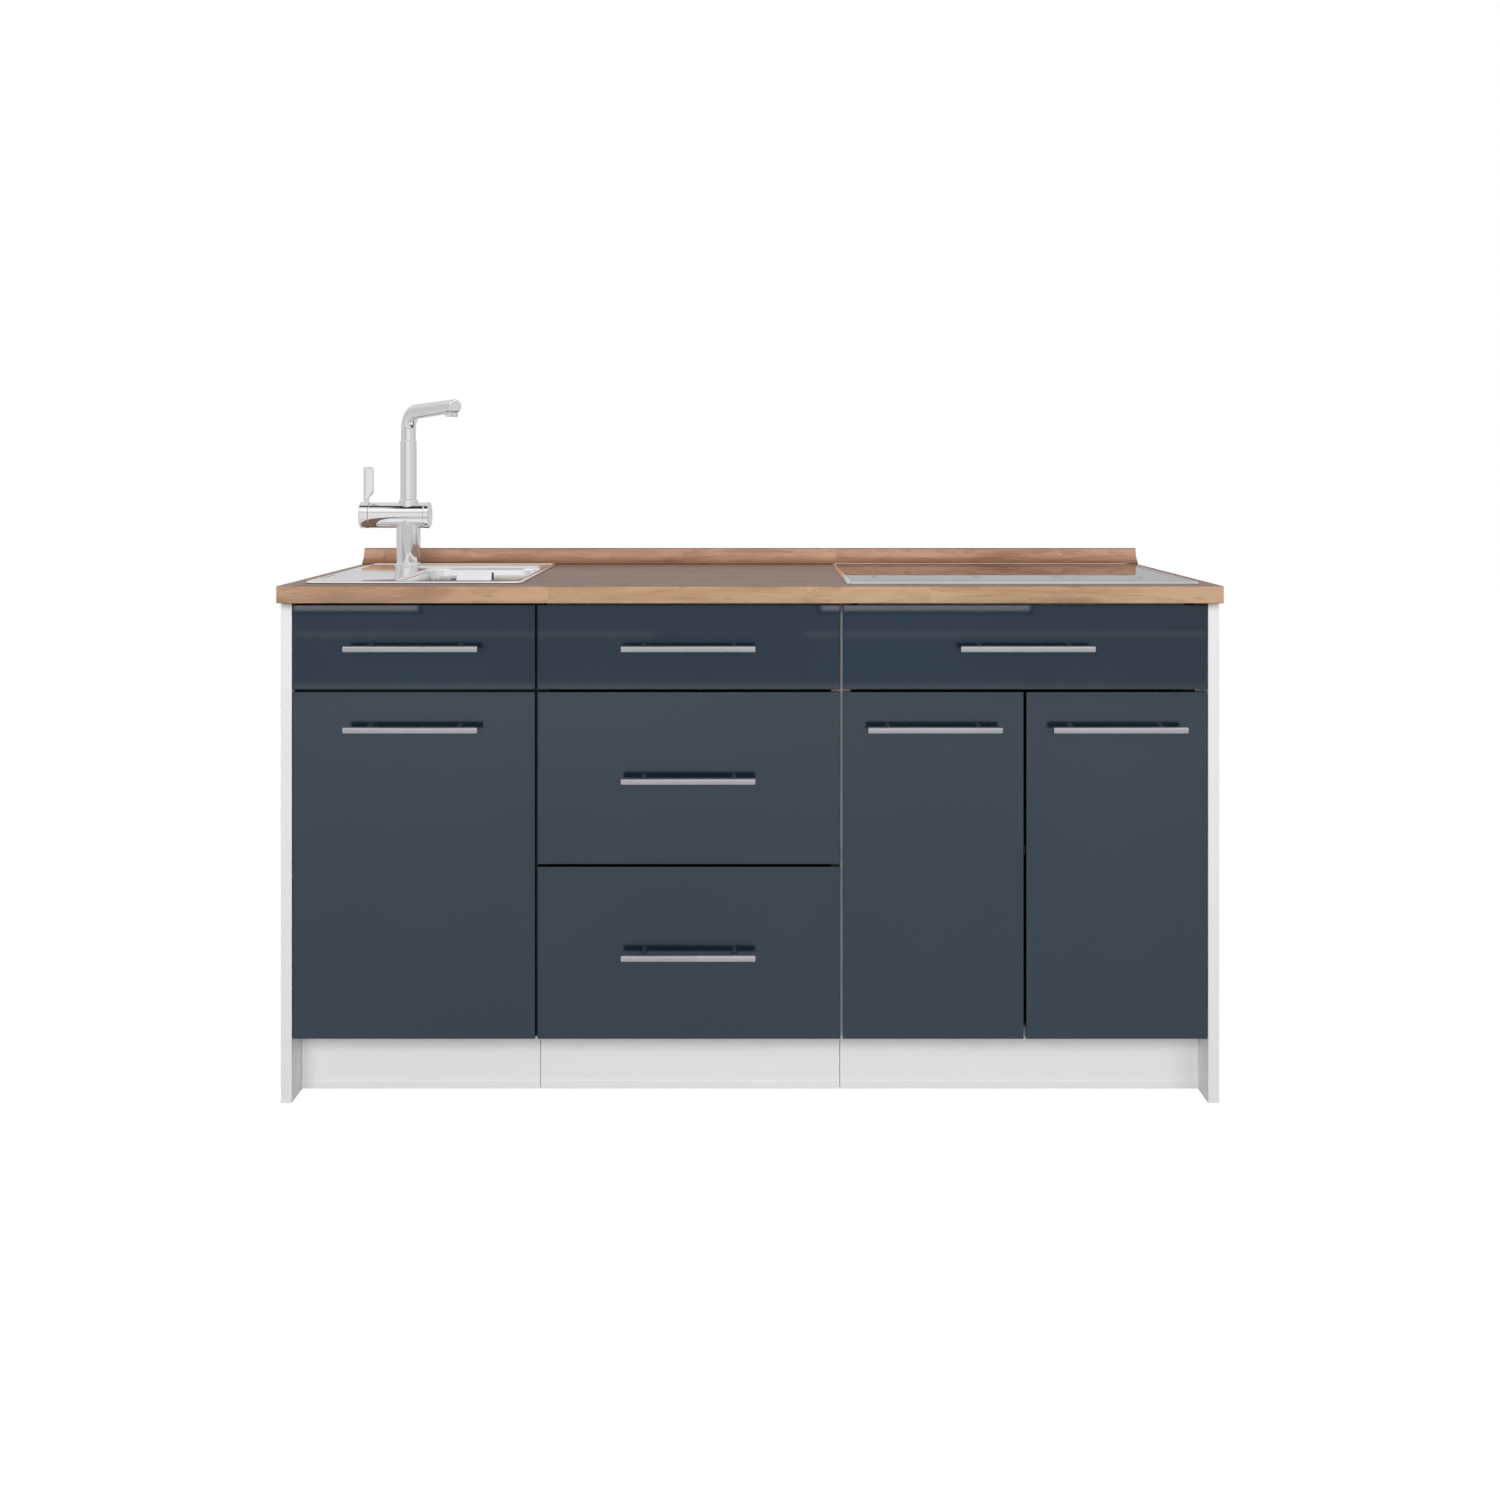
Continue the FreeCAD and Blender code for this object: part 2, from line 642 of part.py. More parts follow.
def profile_along(label, points, x, y, right, long):
    """A pressed section, drawn from the carcass wall inwards, that runs back from y.

    The section's u axis points away from the wall, so it is mirrored on the right.
    """
    piece = body(label, x, y)
    sign = -1 if right else 1
    corners = [(Dim.of(u) * sign, v) for u, v in points]
    pad(piece, outline(piece, "XZ", corners), long, True)
    return piece


def cabinet_rail(label, x, right, low):
    """The fixed half of a runner: a channel with a roller at its mouth."""
    thick, flange = size("runner_thick"), size("runner_flange")
    bottom, top = low - 4, low - 4 + size("runner_high")
    points = [(0, bottom), (flange, bottom), (flange, bottom + thick),
              (thick, bottom + thick), (thick, top), (0, top)]
    y = carcass_y + size("runner_start")
    rail = profile_along(label, points, x, y, right, size("runner_long"))
    radius, play = size("roller_radius"), size("roller_play")
    wheel_z = low + size("side_lip_up") - play - radius
    inner = size("runner_thick") + 1.5
    wheel_x = x - inner - size("roller_wide") if right else x + inner
    pin_long = size("side_inset") - size("runner_thick") - 1
    pin_x = x - thick - pin_long if right else x + thick
    return [rail, roller(label + "_roller", wheel_x, y + radius + 3, wheel_z, pin_x)]


def drawer_side(label, x, right, low, high):
    """A steel side: web, running lip outside, ledge for the base inside, hem on top."""
    inset, thick = size("side_inset"), size("side_thick")
    lip_z = low + size("side_lip_up")
    inner = inset + thick
    top = low + high
    points = [
        (inset, low), (inner + size("side_ledge"), low),
        (inner + size("side_ledge"), low + thick), (inner, low + thick),
        (inner, top - thick), (inner + size("hem"), top - thick), (inner + size("hem"), top),
        (inset, top), (inset, lip_z + thick), (inset - size("side_lip"), lip_z + thick),
        (inset - size("side_lip"), lip_z), (inset, lip_z),
    ]
    y = front_y + front_thick
    long = size("runner_long")
    side = profile_along(label, points, x, y, right, long)
    radius = size("roller_radius")
    wheel_z = low - 4 + size("runner_thick") + size("roller_play") + radius
    outer = inset - 2 - size("roller_wide")
    wheel_x = x - outer - size("roller_wide") if right else x + outer
    pin_long = size("side_inset") - size("runner_thick") - 1
    pin_x = x - inset if right else x + inset - pin_long
    wheel_y = y + long - radius - 2
    return [side, roller(label + "_roller", wheel_x, wheel_y, wheel_z, pin_x)]


def make_drawers():
    """Four drawers, each with a front, a handle, two steel sides, a base and a back."""
    gap, front_top = size("front_gap"), size("front_top")
    top_high, low_high = size("top_front_high"), size("low_front_high")
    top_z = front_top - top_high
    middle_z = top_z - gap - low_high
    drawers = [
        ("top_drawer", 1, top_z, top_high, size("top_side")),
        ("middle_drawer", 1, middle_z, low_high, size("deep_side")),
        ("bottom_drawer", 1, size("front_low"), low_high, size("deep_side")),
        ("hob_drawer", 2, top_z, top_high, size("shallow_side")),
    ]
    rails = []
    for label, unit, z, high, side_high in drawers:
        left, wide = unit_x[unit], unit_wide[unit]
        front_panel(label + "_front", left + gap / 2, z, wide - gap, high)
        bar_handle(label + "_handle", left + wide / 2, z + high / 2)
        low = z + size("side_rise")
        walls = ((left + board, False), (left + wide - board, True))
        steel = []
        for number, (wall_x, right) in enumerate(walls):
            rails += cabinet_rail(f"{label}_rail_{number}", wall_x, right, low)
            steel += drawer_side(f"{label}_side_{number}", wall_x, right, low, side_high)
        group(label + "_sides", steel)
        inner = board + size("side_inset") + size("side_thick")
        base_x, base_wide = left + inner, wide - inner * 2
        base_z = low + size("side_thick")
        base_y = front_y + front_thick
        base = box(label + "_floor", base_x, base_y, base_z,
                   base_wide, size("runner_long"), size("base_thick"))
        back_z = base_z + size("base_thick")
        back_high = side_high - size("side_thick") * 2 - size("base_thick")
        back = box(label + "_rear", base_x, base_y + size("runner_long")
                   - size("drawer_back_thick"), back_z, base_wide,
                   size("drawer_back_thick"), back_high)
        group(label + "_base", [base, back])
    group("cabinet_runners", rails)


# ---------------------------------------------------------------------------
# Sink, waste and trap
# ---------------------------------------------------------------------------
def make_sink():
    """A pressed steel sink: raised rim, sunk deck, deep bowl and a tap hole."""
    rim, steel = size("rim_high"), size("sink_steel")
    wide, deep = size("sink_wide"), size("sink_deep")
    rim_wide, corner = size("rim_wide"), size("sink_corner")
    bowl_corner, floor_round = size("bowl_corner"), size("bowl_floor_round")
    deck_level = rim - size("deck_drop")
    floor_level = deck_level - size("bowl_deep")
    sink = body("sink", sink_x, sink_y, worktop_top)
    pad(sink, rounded(sink, 0, 0, wide, deep, corner), rim)
    dress(sink, "Fillet", size("rim_round"), lambda e: lies(e, "z", rim))
    bowl_x = size("bowl_left") - sink_x
    bowl_y = size("bowl_front") - size("sink_front")
    bowl_wide, bowl_long = size("bowl_wide"), size("bowl_long")
    outer = rounded(sink, bowl_x - steel, bowl_y - steel, bowl_wide + steel * 2,
                    bowl_long + steel * 2, bowl_corner + steel)
    pad(sink, outer, steel - floor_level, True)
    deck = rounded(sink, rim_wide, rim_wide, wide - rim_wide * 2, deep - rim_wide * 2,
                   corner - rim_wide / 2, rim)
    pocket(sink, deck, size("deck_drop"))
    inside = rounded(sink, bowl_x, bowl_y, bowl_wide, bowl_long, bowl_corner, deck_level)
    pocket(sink, inside, size("bowl_deep"))
    dress(sink, "Fillet", floor_round, lambda e: lies(e, "z", floor_level))
    dress(sink, "Fillet", floor_round + steel, lambda e: lies(e, "z", floor_level - steel))
    waste = circle(sink, "XY", bowl_x + bowl_wide / 2, bowl_y + bowl_long / 2,
                   size("waste_hole"), floor_level + steel)
    pocket(sink, waste, steel * 4)
    tap_u, tap_v = size("tap_left") - sink_x, size("tap_back") - size("sink_front")
    pocket(sink, circle(sink, "XY", tap_u, tap_v, size("tap_hole"), rim), rim + 1)
    overflow = circle(sink, "XZ", bowl_x + bowl_wide / 2, -size("overflow_down"),
                      size("overflow_hole"), -(bowl_y + bowl_long - steel))
    pocket(sink, overflow, steel * 4)
    keep(sink, "sink")


def make_waste():
    """The waste body under the bowl, its lift-out basket, the overflow and the trap."""
    x = size("bowl_left") + size("bowl_wide") / 2
    y = edge_y + size("bowl_front") + size("bowl_long") / 2
    floor_z = deck_z - size("bowl_deep")
    steel, wall = size("sink_steel"), size("pipe_wall")
    radius, deep = size("strainer_radius"), size("strainer_deep")
    tail, tail_long = size("tail_radius"), size("tail_long")
    ring_high = size("waste_ring_high")
    cup_top = floor_z - steel
    tail_z = cup_top - deep - tail_long
    flange = rod("waste_ring", size("waste_flange"), ring_high, x, y, cup_top - ring_high)
    lip = rod("waste_lip", size("waste_hole") - size("waste_lip_gap"), steel, x, y, cup_top)
    cup = rod("waste_cup", radius + wall, deep, x, y, cup_top - deep)
    spout = rod("waste_tail", tail, tail_long, x, y, tail_z)
    room = rod("waste_room", radius, deep, x, y, cup_top - deep + size("waste_floor"))
    bore = rod("waste_bore", tail - wall, tail_long * 2, x, y, tail_z - wall)
    branch_z, branch_long = cup_top - size("branch_down"), size("branch_long")
    branch = rod("waste_branch", size("overflow_tube") + wall, branch_long + wall, x,
                 y + radius - wall, branch_z, "y")
    keep(cut("sink_waste", fuse("waste_whole", flange, lip, cup, branch, spout), room, bore),
         "sink_waste")

    basket_low, basket_high = cup_top - deep + size("basket_clear"), deep - size("basket_short")
    rim = rod("basket_rim", radius - size("basket_rim_gap"), wall, x, y,
              cup_top - size("basket_rim_down"))
    bucket = rod("basket_bucket", radius - wall * 2, basket_high, x, y, basket_low + wall)
    inside = rod("basket_inside", radius - wall * 3, deep, x, y, basket_low + wall * 2)
    knob = rod("basket_knob", size("knob_radius"), basket_high, x, y, basket_low + wall)
    head = rod("basket_head", size("knob_head"), size("knob_head_high"), x, y,
               cup_top - size("knob_head_down"))
    holes, ring = [], size("basket_hole_ring")
    for number in range(6):
        angle = math.radians(60 * number)
        holes.append(rod(f"basket_hole_{number}", size("basket_hole"), wall * 4,
                         x + ring * math.cos(angle), y + ring * math.sin(angle), basket_low))
    shell = cut("basket_shell", fuse("basket_outside", bucket, rim), inside, *holes)
    keep(fuse("strainer_basket", shell, knob, head), "strainer_basket")

    trap_top = tail_z - size("trap_gap")
    cup_radius, cup_high = size("trap_cup_radius"), size("trap_cup_high")
    nut_high, outlet_radius = size("trap_nut_high"), size("outlet_radius")
    nut = rod("trap_nut", tail + size("trap_nut_wall"), nut_high, x, y,
              tail_z - size("trap_nut_down"))
    bottle = rod("trap_bottle", cup_radius, cup_high, x, y, trap_top - cup_high)
    collar = rod("trap_ring", cup_radius + size("trap_ring_wall"), size("trap_ring_high"), x, y,
                 trap_top - size("trap_ring_down"))
    outlet_z = trap_top - size("outlet_down")
    outlet = rod("trap_outlet", outlet_radius, wall_y - y - size("outlet_short"), x, y,
                 outlet_z, "y")
    sleeve = rod("trap_sleeve", outlet_radius + size("sleeve_wall"), size("sleeve_long"), x,
                 y + size("sleeve_out"), outlet_z, "y")
    seat = rod("trap_seat", tail, nut_high, x, y, tail_z)
    bore = rod("trap_bore", outlet_radius - wall, size("outlet_bore"), x,
               wall_y - size("outlet_bore"), outlet_z, "y")
    keep(cut("bottle_trap", fuse("trap_whole", nut, bottle, collar, outlet, sleeve),
             seat, bore), "bottle_trap")

    back_y = edge_y + size("bowl_front") + size("bowl_long") + steel
    box_z = deck_z - size("overflow_down")
    tube = size("overflow_tube")
    behind = tube + wall
    chamber = rod("overflow_chamber", size("overflow_hole") + size("chamber_wall"), behind * 2,
                  x, back_y, box_z, "y")
    drop = body("overflow_drop", x, back_y + behind, 0)
    bend = tube * 2
    branch_end = y + radius + size("branch_long") - (back_y + behind)
    spine = outline(drop, "YZ", [(0, box_z), (0, branch_z + bend), (-bend, branch_z),
                                 (branch_end, branch_z)],
                    arcs={1: (bend, False)}, closed=False)
    ring_sketch = circle(drop, "XY", 0, 0, tube, box_z)
    sweep = drop.newObject("PartDesign::AdditivePipe", "sweep")
    sweep.Profile = ring_sketch
    sweep.Spine = (spine, ["Edge1", "Edge2", "Edge3"])
    keep(fuse("sink_overflow", chamber, drop), "sink_overflow")


def make_sink_clips():
    """Six clips that pull the sink down on the worktop from below; those on the right stand
    behind the bowl, which leaves no room beside it."""
    clips = []
    flange, low = size("sink_flange"), carcass_high
    thick, wide, high, foot_wide = (size(f"clip_{name}")
                                    for name in ("thick", "wide", "high", "foot"))
    left, right = sink_x + flange, sink_x + size("sink_wide") - flange
    for number, (x, way, along) in enumerate(
            [(left, 1, part) for part in (0.22, 0.42, 0.62, 0.86)]
            + [(right, -1, part) for part in (0.80, 0.90)]):
        y = sink_y + size("sink_deep") * along
        inward = x + 1 if way > 0 else x - thick - 1
        web = box(f"clip_web_{number}", inward, y, low - high, thick, wide,
                  size("worktop_thick") + high)
        foot = box(f"clip_foot_{number}", x - foot_wide / 2, y, low - high, foot_wide, wide,
                   high)
        clips.append(fuse(f"clip_{number}", web, foot))
    group("sink_clips", clips)


# ---------------------------------------------------------------------------
# Mixer tap with a side lever and a swinging spout
# ---------------------------------------------------------------------------
tap_x, tap_y = size("tap_left"), edge_y + size("tap_back")
valve_z = deck_z + size("tap_axis_high")
collar_top = valve_z + size("valve_radius") + size("collar_high")


def make_tap_body():
    """The upright column, the valve body across it and the shank through the deck."""
    valve = size("valve_radius")
    left, right = size("valve_left"), size("valve_right")
    spigot, gap = size("spigot_radius"), size("running_gap")
    foot = rod("tap_foot_ring", size("tap_foot"), size("tap_foot_high"), tap_x, tap_y, deck_z)
    column = rod("tap_upright", size("tap_column"), size("tap_axis_high"),
                 tap_x, tap_y, deck_z)
    across = rod("tap_across", valve, left + right - size("cap_long"),
                 tap_x - left, tap_y, valve_z, "x")
    cap = rod("tap_end_cap", size("cap_radius"), size("cap_long"),
              tap_x + right - size("cap_long"), tap_y, valve_z, "x")
    collar = rod("tap_collar", size("collar_radius"), valve + size("collar_high"),
                 tap_x, tap_y, valve_z)
    shank = rod("tap_shank", size("shank_radius"), size("shank_long"),
                tap_x, tap_y, deck_z - size("shank_long"))
    socket = rod("tap_socket", spigot + gap, size("spigot_deep") + 1,
                 tap_x, tap_y, collar_top - size("spigot_deep"))
    mouth = rod("tap_mouth", size("hub_spigot") + gap, size("hub_spigot_long") + 1,
                tap_x - left, tap_y, valve_z, "x")
    inlets = [rod(f"tap_inlet_{n}", size("inlet_radius"), size("inlet_deep"),
                  tap_x + size("inlet_spread") * sign, tap_y,
                  deck_z - size("shank_long"))
              for n, sign in enumerate((-1, 1))]
    whole = fuse("tap_whole", foot, column, across, cap, collar, shank)
    keep(cut("tap_body", whole, socket, mouth, *inlets), "tap_body")


def make_shank_nut():
    """A washer and nut that clamp the tap to the sink from below."""
    under = worktop_top
    washer_high, high = size("washer_high"), size("nut_high")
    washer = rod("nut_washer", size("nut_radius"), washer_high, tap_x, tap_y,
                 under - washer_high)
    nut = body("nut_hexagon", tap_x, tap_y, under - washer_high - high)
    across = size("nut_radius") - washer_high
    corners = [(across * math.cos(math.radians(60 * n)), across * math.sin(math.radians(60 * n)))
               for n in range(6)]
    pad(nut, outline(nut, "XY", corners), high)
    hole = rod("nut_hole", size("shank_radius") + size("running_gap"), high * 3, tap_x, tap_y,
               under - high * 2)
    keep(cut("tap_shank_nut", fuse("nut_whole", washer, nut), hole), "tap_shank_nut")


def make_spout():
    """Riser, knee and arm of the swinging spout; it stands turned towards the bowl."""
    turn = Rotation(Vector(0, 0, 1), -SIZES["spout_turn"])
    riser_low = collar_top - deck_z + size("spout_gap")
    spout = body("spout", tap_x, tap_y, deck_z, turn)
    seam, knee = size("spout_seam"), size("spout_knee")
    rise = math.radians(SIZES["arm_rise"])
    tangent = size("knee_radius") * math.tan((math.pi / 2 - rise) / 2)
    spigot_deep, below = size("spigot_deep"), size("spigot_clear")
    pad(spout, circle(spout, "XY", 0, 0, size("spigot_radius"), riser_low - spigot_deep + below),
        spigot_deep + below)
    pad(spout, circle(spout, "XY", 0, 0, size("riser_radius"), riser_low),
        seam - riser_low)
    dress(spout, "Chamfer", size("seam_chamfer"), lambda e: lies(e, "z", seam))
    bend_end = (tangent * math.cos(rise), knee + tangent * math.sin(rise))
    arm_start = bend_end[0]
    spine = outline(spout, "XZ", [(0, seam), (0, knee - tangent), bend_end],
                    arcs={1: (size("knee_radius"), False)}, closed=False)
    sweep = spout.newObject("PartDesign::AdditivePipe", "knee")
    sweep.Profile = circle(spout, "XY", 0, 0, size("neck_radius"), seam)
    sweep.Spine = (spine, ["Edge1", "Edge2"])
    doc.recompute()
    run = size("arm_run")
    arm = doc.addObject("Part::Cone", "spout_arm")
    bind(arm, "Radius1", size("neck_radius"))
    bind(arm, "Radius2", size("arm_end_radius"))
    bind(arm, "Height", run)
    lean = Rotation(Vector(0, 1, 0), 90 - SIZES["arm_rise"])
    heading = turn.multVec(Vector(1, 0, 0))
    place(arm, tap_x + arm_start * heading.x, tap_y + arm_start * heading.y,
          deck_z + bend_end[1], turn.multiply(lean))
    end = (float(arm_start) + SIZES["arm_run"] * math.cos(rise))
    nozzle_at = arm_start + (run - size("aerator_back")) * math.cos(rise)
    nozzle_x, nozzle_y = tap_x + nozzle_at * heading.x, tap_y + nozzle_at * heading.y
    nozzle_z = deck_z + bend_end[1] + (run - size("aerator_back")) * math.sin(rise)
    ring_radius, ring_high = size("aerator_radius"), size("aerator_high")
    stem_radius = ring_radius - size("aerator_step")
    socket = rod("spout_mouth", stem_radius, ring_high * 3, nozzle_x, nozzle_y,
                 nozzle_z - ring_high * 3)
    doc.recompute()
    rim = max(range(len(arm.Shape.Edges)),
              key=lambda n: (arm.Shape.Edges[n].Closed, -arm.Shape.Edges[n].Length))
    tip = doc.addObject("Part::Fillet", "spout_tip")
    tip.Base = arm
    tip.Edges = [(rim + 1, SIZES["arm_end_round"], SIZES["arm_end_round"])]
    whole = fuse("spout_whole", spout, tip)
    keep(cut("spout_pipe", whole, socket), "spout_pipe")
    print(f"spout reaches {end:.0f} mm from its axis")

    low = nozzle_z - size("arm_end_radius") - ring_high + size("aerator_sunk")
    ring = rod("aerator_ring", ring_radius, ring_high, nozzle_x, nozzle_y, low)
    stem = rod("aerator_stem", stem_radius, size("aerator_stem"), nozzle_x, nozzle_y,
               low + size("aerator_step"))
    flow = rod("aerator_flow", ring_radius - size("aerator_wall"), ring_high * 3, nozzle_x,
               nozzle_y, low - 1)
    outside = fuse("aerator_whole", cut("aerator_outside", ring, whole), stem)
    keep(cut("spout_aerator", outside, flow), "spout_aerator")


def make_lever():
    """The hub that turns on the end of the valve, and the lever that tilts on a pin in its
    slot."""
    hub_x = tap_x - size("valve_left") - size("hub_gap")
    long = size("hub_long")
    hub = body("tap_lever_hub", hub_x, tap_y, valve_z)
    pad(hub, circle(hub, "YZ", 0, 0, size("hub_radius")), long, True)
    dress(hub, "Fillet", size("hub_round"), lambda e: lies(e, "x", -long))
    pad(hub, circle(hub, "YZ", 0, 0, size("hub_spigot"), 0), size("hub_spigot_long"))
    slot = size("lever_slot")
    back = size("lever_back")
    opening = rectangle(hub, "XY", -back - size("slot_outer"), -slot,
                        size("slot_inner") + size("slot_outer"), slot * 2,
                        size("hub_radius") + 1)
    pocket(hub, opening, size("hub_radius") + 1 - size("slot_floor"))
    pin_radius, pin_half = size("tilt_pin_radius"), size("tilt_pin_half")
    pin_hole, up = pin_radius + size("running_gap"), size("lever_pivot_up")
    pocket(hub, circle(hub, "XZ", -back, up, pin_hole, -pin_half), pin_half * 2, True)
    keep(hub, "tap_lever_hub")
    keep(rod("tap_lever_pin", pin_radius, pin_half * 2, hub_x - back, tap_y - pin_half,
             valve_z + up, "y"), "tap_lever_pin")

    neck = size("lever_neck")
    lever = body("tap_lever", hub_x - back, tap_y, valve_z + up)
    thick, left = size("blade_thick"), -neck - 1
    right = left + size("blade_wide")
    foot, top = size("blade_foot"), size("blade_top")
    corners = [(left, foot), (neck, foot), (right, size("blade_shoulder")), (right, top),
               (left, top)]
    pad(lever, outline(lever, "XZ", corners, -thick / 2), thick)
    dress(lever, "Fillet", size("blade_round"), lambda e: True)
    below = size("neck_below")
    pad(lever, circle(lever, "XY", 0, 0, neck, -below), foot + below + thick / 2)
    pocket(lever, circle(lever, "XZ", 0, 0, pin_hole, -pin_half), pin_half * 2, True)
    keep(lever, "tap_lever")


# ---------------------------------------------------------------------------
# Hob
# ---------------------------------------------------------------------------
def make_hob():
    """A framed glass hob: bevelled steel frame, glass plate and the casing below."""
    wide, deep, frame = size("hob_wide"), size("hob_deep"), size("hob_frame")
    high = size("hob_frame_high")
    ring = body("hob_frame", hob_x, hob_y, worktop_top)
    pad(ring, rectangle(ring, "XY", 0, 0, wide, deep), high)
    dress(ring, "Fillet", 6, lambda e: runs(e, "z"))
    dress(ring, "Chamfer", 2.5, lambda e: lies(e, "z", high))
    inner = rectangle(ring, "XY", frame, frame, wide - frame * 2, deep - frame * 2, high)
    pocket(ring, inner, high)
    keep(ring, "hob_frame")
    glass = box("hob_glass", hob_x + frame, hob_y + frame, worktop_top,
                wide - frame * 2, deep - frame * 2, size("hob_glass_thick"))
    keep(glass, "hob_glass")
    inset, box_deep = size("hob_box_inset"), size("hob_box_deep")
    casing = body("hob_casing", hob_x + inset, hob_y + inset, worktop_top - box_deep)
    case_wide, case_deep = wide - inset * 2, deep - inset * 2
    pad(casing, rectangle(casing, "XY", 0, 0, case_wide, case_deep), box_deep)
    dress(casing, "Fillet", 5, lambda e: runs(e, "z") or lies(e, "z", 0))
    gland_x, gland_y = case_wide - size("gland_in"), case_deep - size("gland_back")
    gland_long = size("gland_long")
    gland = circle(casing, "XY", gland_x, gland_y, size("gland_radius"))
    pad(casing, gland, gland_long, True)
    bore = circle(casing, "XY", gland_x, gland_y, size("gland_bore"), -gland_long)
    pocket(casing, bore, gland_long + 6, True)
    keep(casing, "hob_casing")


def check_and_write():
    """Refuse a failed object or a bad shape, then write each sub-part to its own file."""
    doc.recompute()
    for thing in doc.Objects:
        if "Invalid" in thing.State or "Error" in thing.State:
            raise RuntimeError(f"{thing.Label} failed: {thing.State}")
    for label, thing in NODES.items():
        shape = thing.Shape
        if shape.isNull() or not shape.isValid():
            raise RuntimeError(f"{label} has no valid shape")
    for label, thing in NODES.items():
        shape = thing.Shape
        shape.exportStep(f"parts/{label}.step")
        bounds = shape.BoundBox
        print(f"{label:24s} {len(shape.Solids):2d} solids {shape.Volume / 1000:9.1f} cm3  "
              f"x {bounds.XMin:7.1f} {bounds.XMax:7.1f}  y {bounds.YMin:7.1f} "
              f"{bounds.YMax:7.1f}  z {bounds.ZMin:6.1f} {bounds.ZMax:6.1f}")
    print(f"{len(NODES)} nodes")


make_worktop()
make_upstand()
make_end_panels()
make_carcasses()
make_shelf()
make_plinth()
make_sink_front()
make_doors()
make_drawers()
make_sink()
make_waste()
make_sink_clips()
make_tap_body()
make_shank_nut()
make_spout()
make_lever()
make_hob()
check_and_write()
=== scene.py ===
# %% [markdown]
# # A kitchenette unit with sink and hob
#
# The solids of the unit come from the CAD model.  Here they get their finishes, and the
# pieces whose curved metal catches the light (sink, tap, handles, waste) are made again
# as smooth surfaces.  Everything is in metres: X runs to the right along the worktop,
# Y runs back to the wall, Z runs up.

# %% Load the frame
import json
import math

import bmesh
import bpy
import numpy as np
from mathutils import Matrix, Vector


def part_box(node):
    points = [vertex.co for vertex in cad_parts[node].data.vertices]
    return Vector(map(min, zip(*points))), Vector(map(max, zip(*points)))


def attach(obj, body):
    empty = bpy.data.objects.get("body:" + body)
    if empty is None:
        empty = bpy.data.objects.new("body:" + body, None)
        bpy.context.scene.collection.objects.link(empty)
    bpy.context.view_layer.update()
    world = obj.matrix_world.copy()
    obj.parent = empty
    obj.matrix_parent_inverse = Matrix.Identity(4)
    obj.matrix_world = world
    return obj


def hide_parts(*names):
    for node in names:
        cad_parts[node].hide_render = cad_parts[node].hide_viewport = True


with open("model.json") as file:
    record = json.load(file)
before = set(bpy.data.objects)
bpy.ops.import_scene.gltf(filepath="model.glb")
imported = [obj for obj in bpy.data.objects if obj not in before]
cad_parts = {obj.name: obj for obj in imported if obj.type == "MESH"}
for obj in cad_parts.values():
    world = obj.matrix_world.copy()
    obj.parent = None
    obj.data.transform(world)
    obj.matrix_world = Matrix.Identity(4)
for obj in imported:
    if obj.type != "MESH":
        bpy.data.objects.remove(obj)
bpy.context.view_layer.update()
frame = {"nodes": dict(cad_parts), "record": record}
MM = 0.001

# %% [markdown]
# ## Tools for surfaces
#
# Every new piece is a grid of points: a function of two parameters worked out with
# arrays.  A revolved profile, a tube along a path and a stack of outlines are all such
# grids, so one small function can turn each of them into faces.


# %% Grid of points to faces
def grid_faces(rows, columns):
    """Quads between neighbours of a rows x columns grid whose last column meets its first."""
    row, column = np.meshgrid(np.arange(rows - 1), np.arange(columns), indexing="ij")
    right = (column + 1) % columns
    corners = [row * columns + column, row * columns + right,
               (row + 1) * columns + right, (row + 1) * columns + column]
    return np.stack(corners, axis=-1).reshape(-1, 4)


def patch(points):
    """A surface from an array of shape (rows, columns, 3)."""
    return points.reshape(-1, 3), grid_faces(*points.shape[:2])


def joined(*patches):
    """Several surfaces as one list of points and one of faces."""
    sizes = np.cumsum([0] + [len(p[0]) for p in patches[:-1]])
    points = np.concatenate([p[0] for p in patches])
    faces = np.concatenate([p[1] + shift for p, shift in zip(patches, sizes)])
    return points, faces


# %% Revolved profiles, tubes and stacked outlines
TURN = {
    "x": np.array([[0, 1, 0], [0, 0, 1], [1, 0, 0]]),
    "y": np.array([[0, 0, 1], [1, 0, 0], [0, 1, 0]]),
    "z": np.eye(3),
}


def revolved(profile, centre, axis="z", around=48, ripple=None):
    """A profile of (radius, height) turned about an axis.

    Point (i, j) is (r_i cos a_j, r_i sin a_j, h_i), then the axes are renamed so that the
    height runs along the axis.  ripple(angle, radius) is added to the radius.
    """
    profile = np.array(profile, float)
    angle = np.linspace(0, 2 * np.pi, around, endpoint=False)
    radius = np.repeat(profile[:, :1], around, axis=1)
    if ripple is not None:
        radius = radius + ripple(angle[None, :], radius)
    height = np.repeat(profile[:, 1:], around, axis=1)
    local = np.stack([radius * np.cos(angle), radius * np.sin(angle), height], axis=-1)
    return patch((local @ TURN[axis] + np.array(centre)) * MM)


EASE_STEPS = 5
LONG_STRETCH = 5


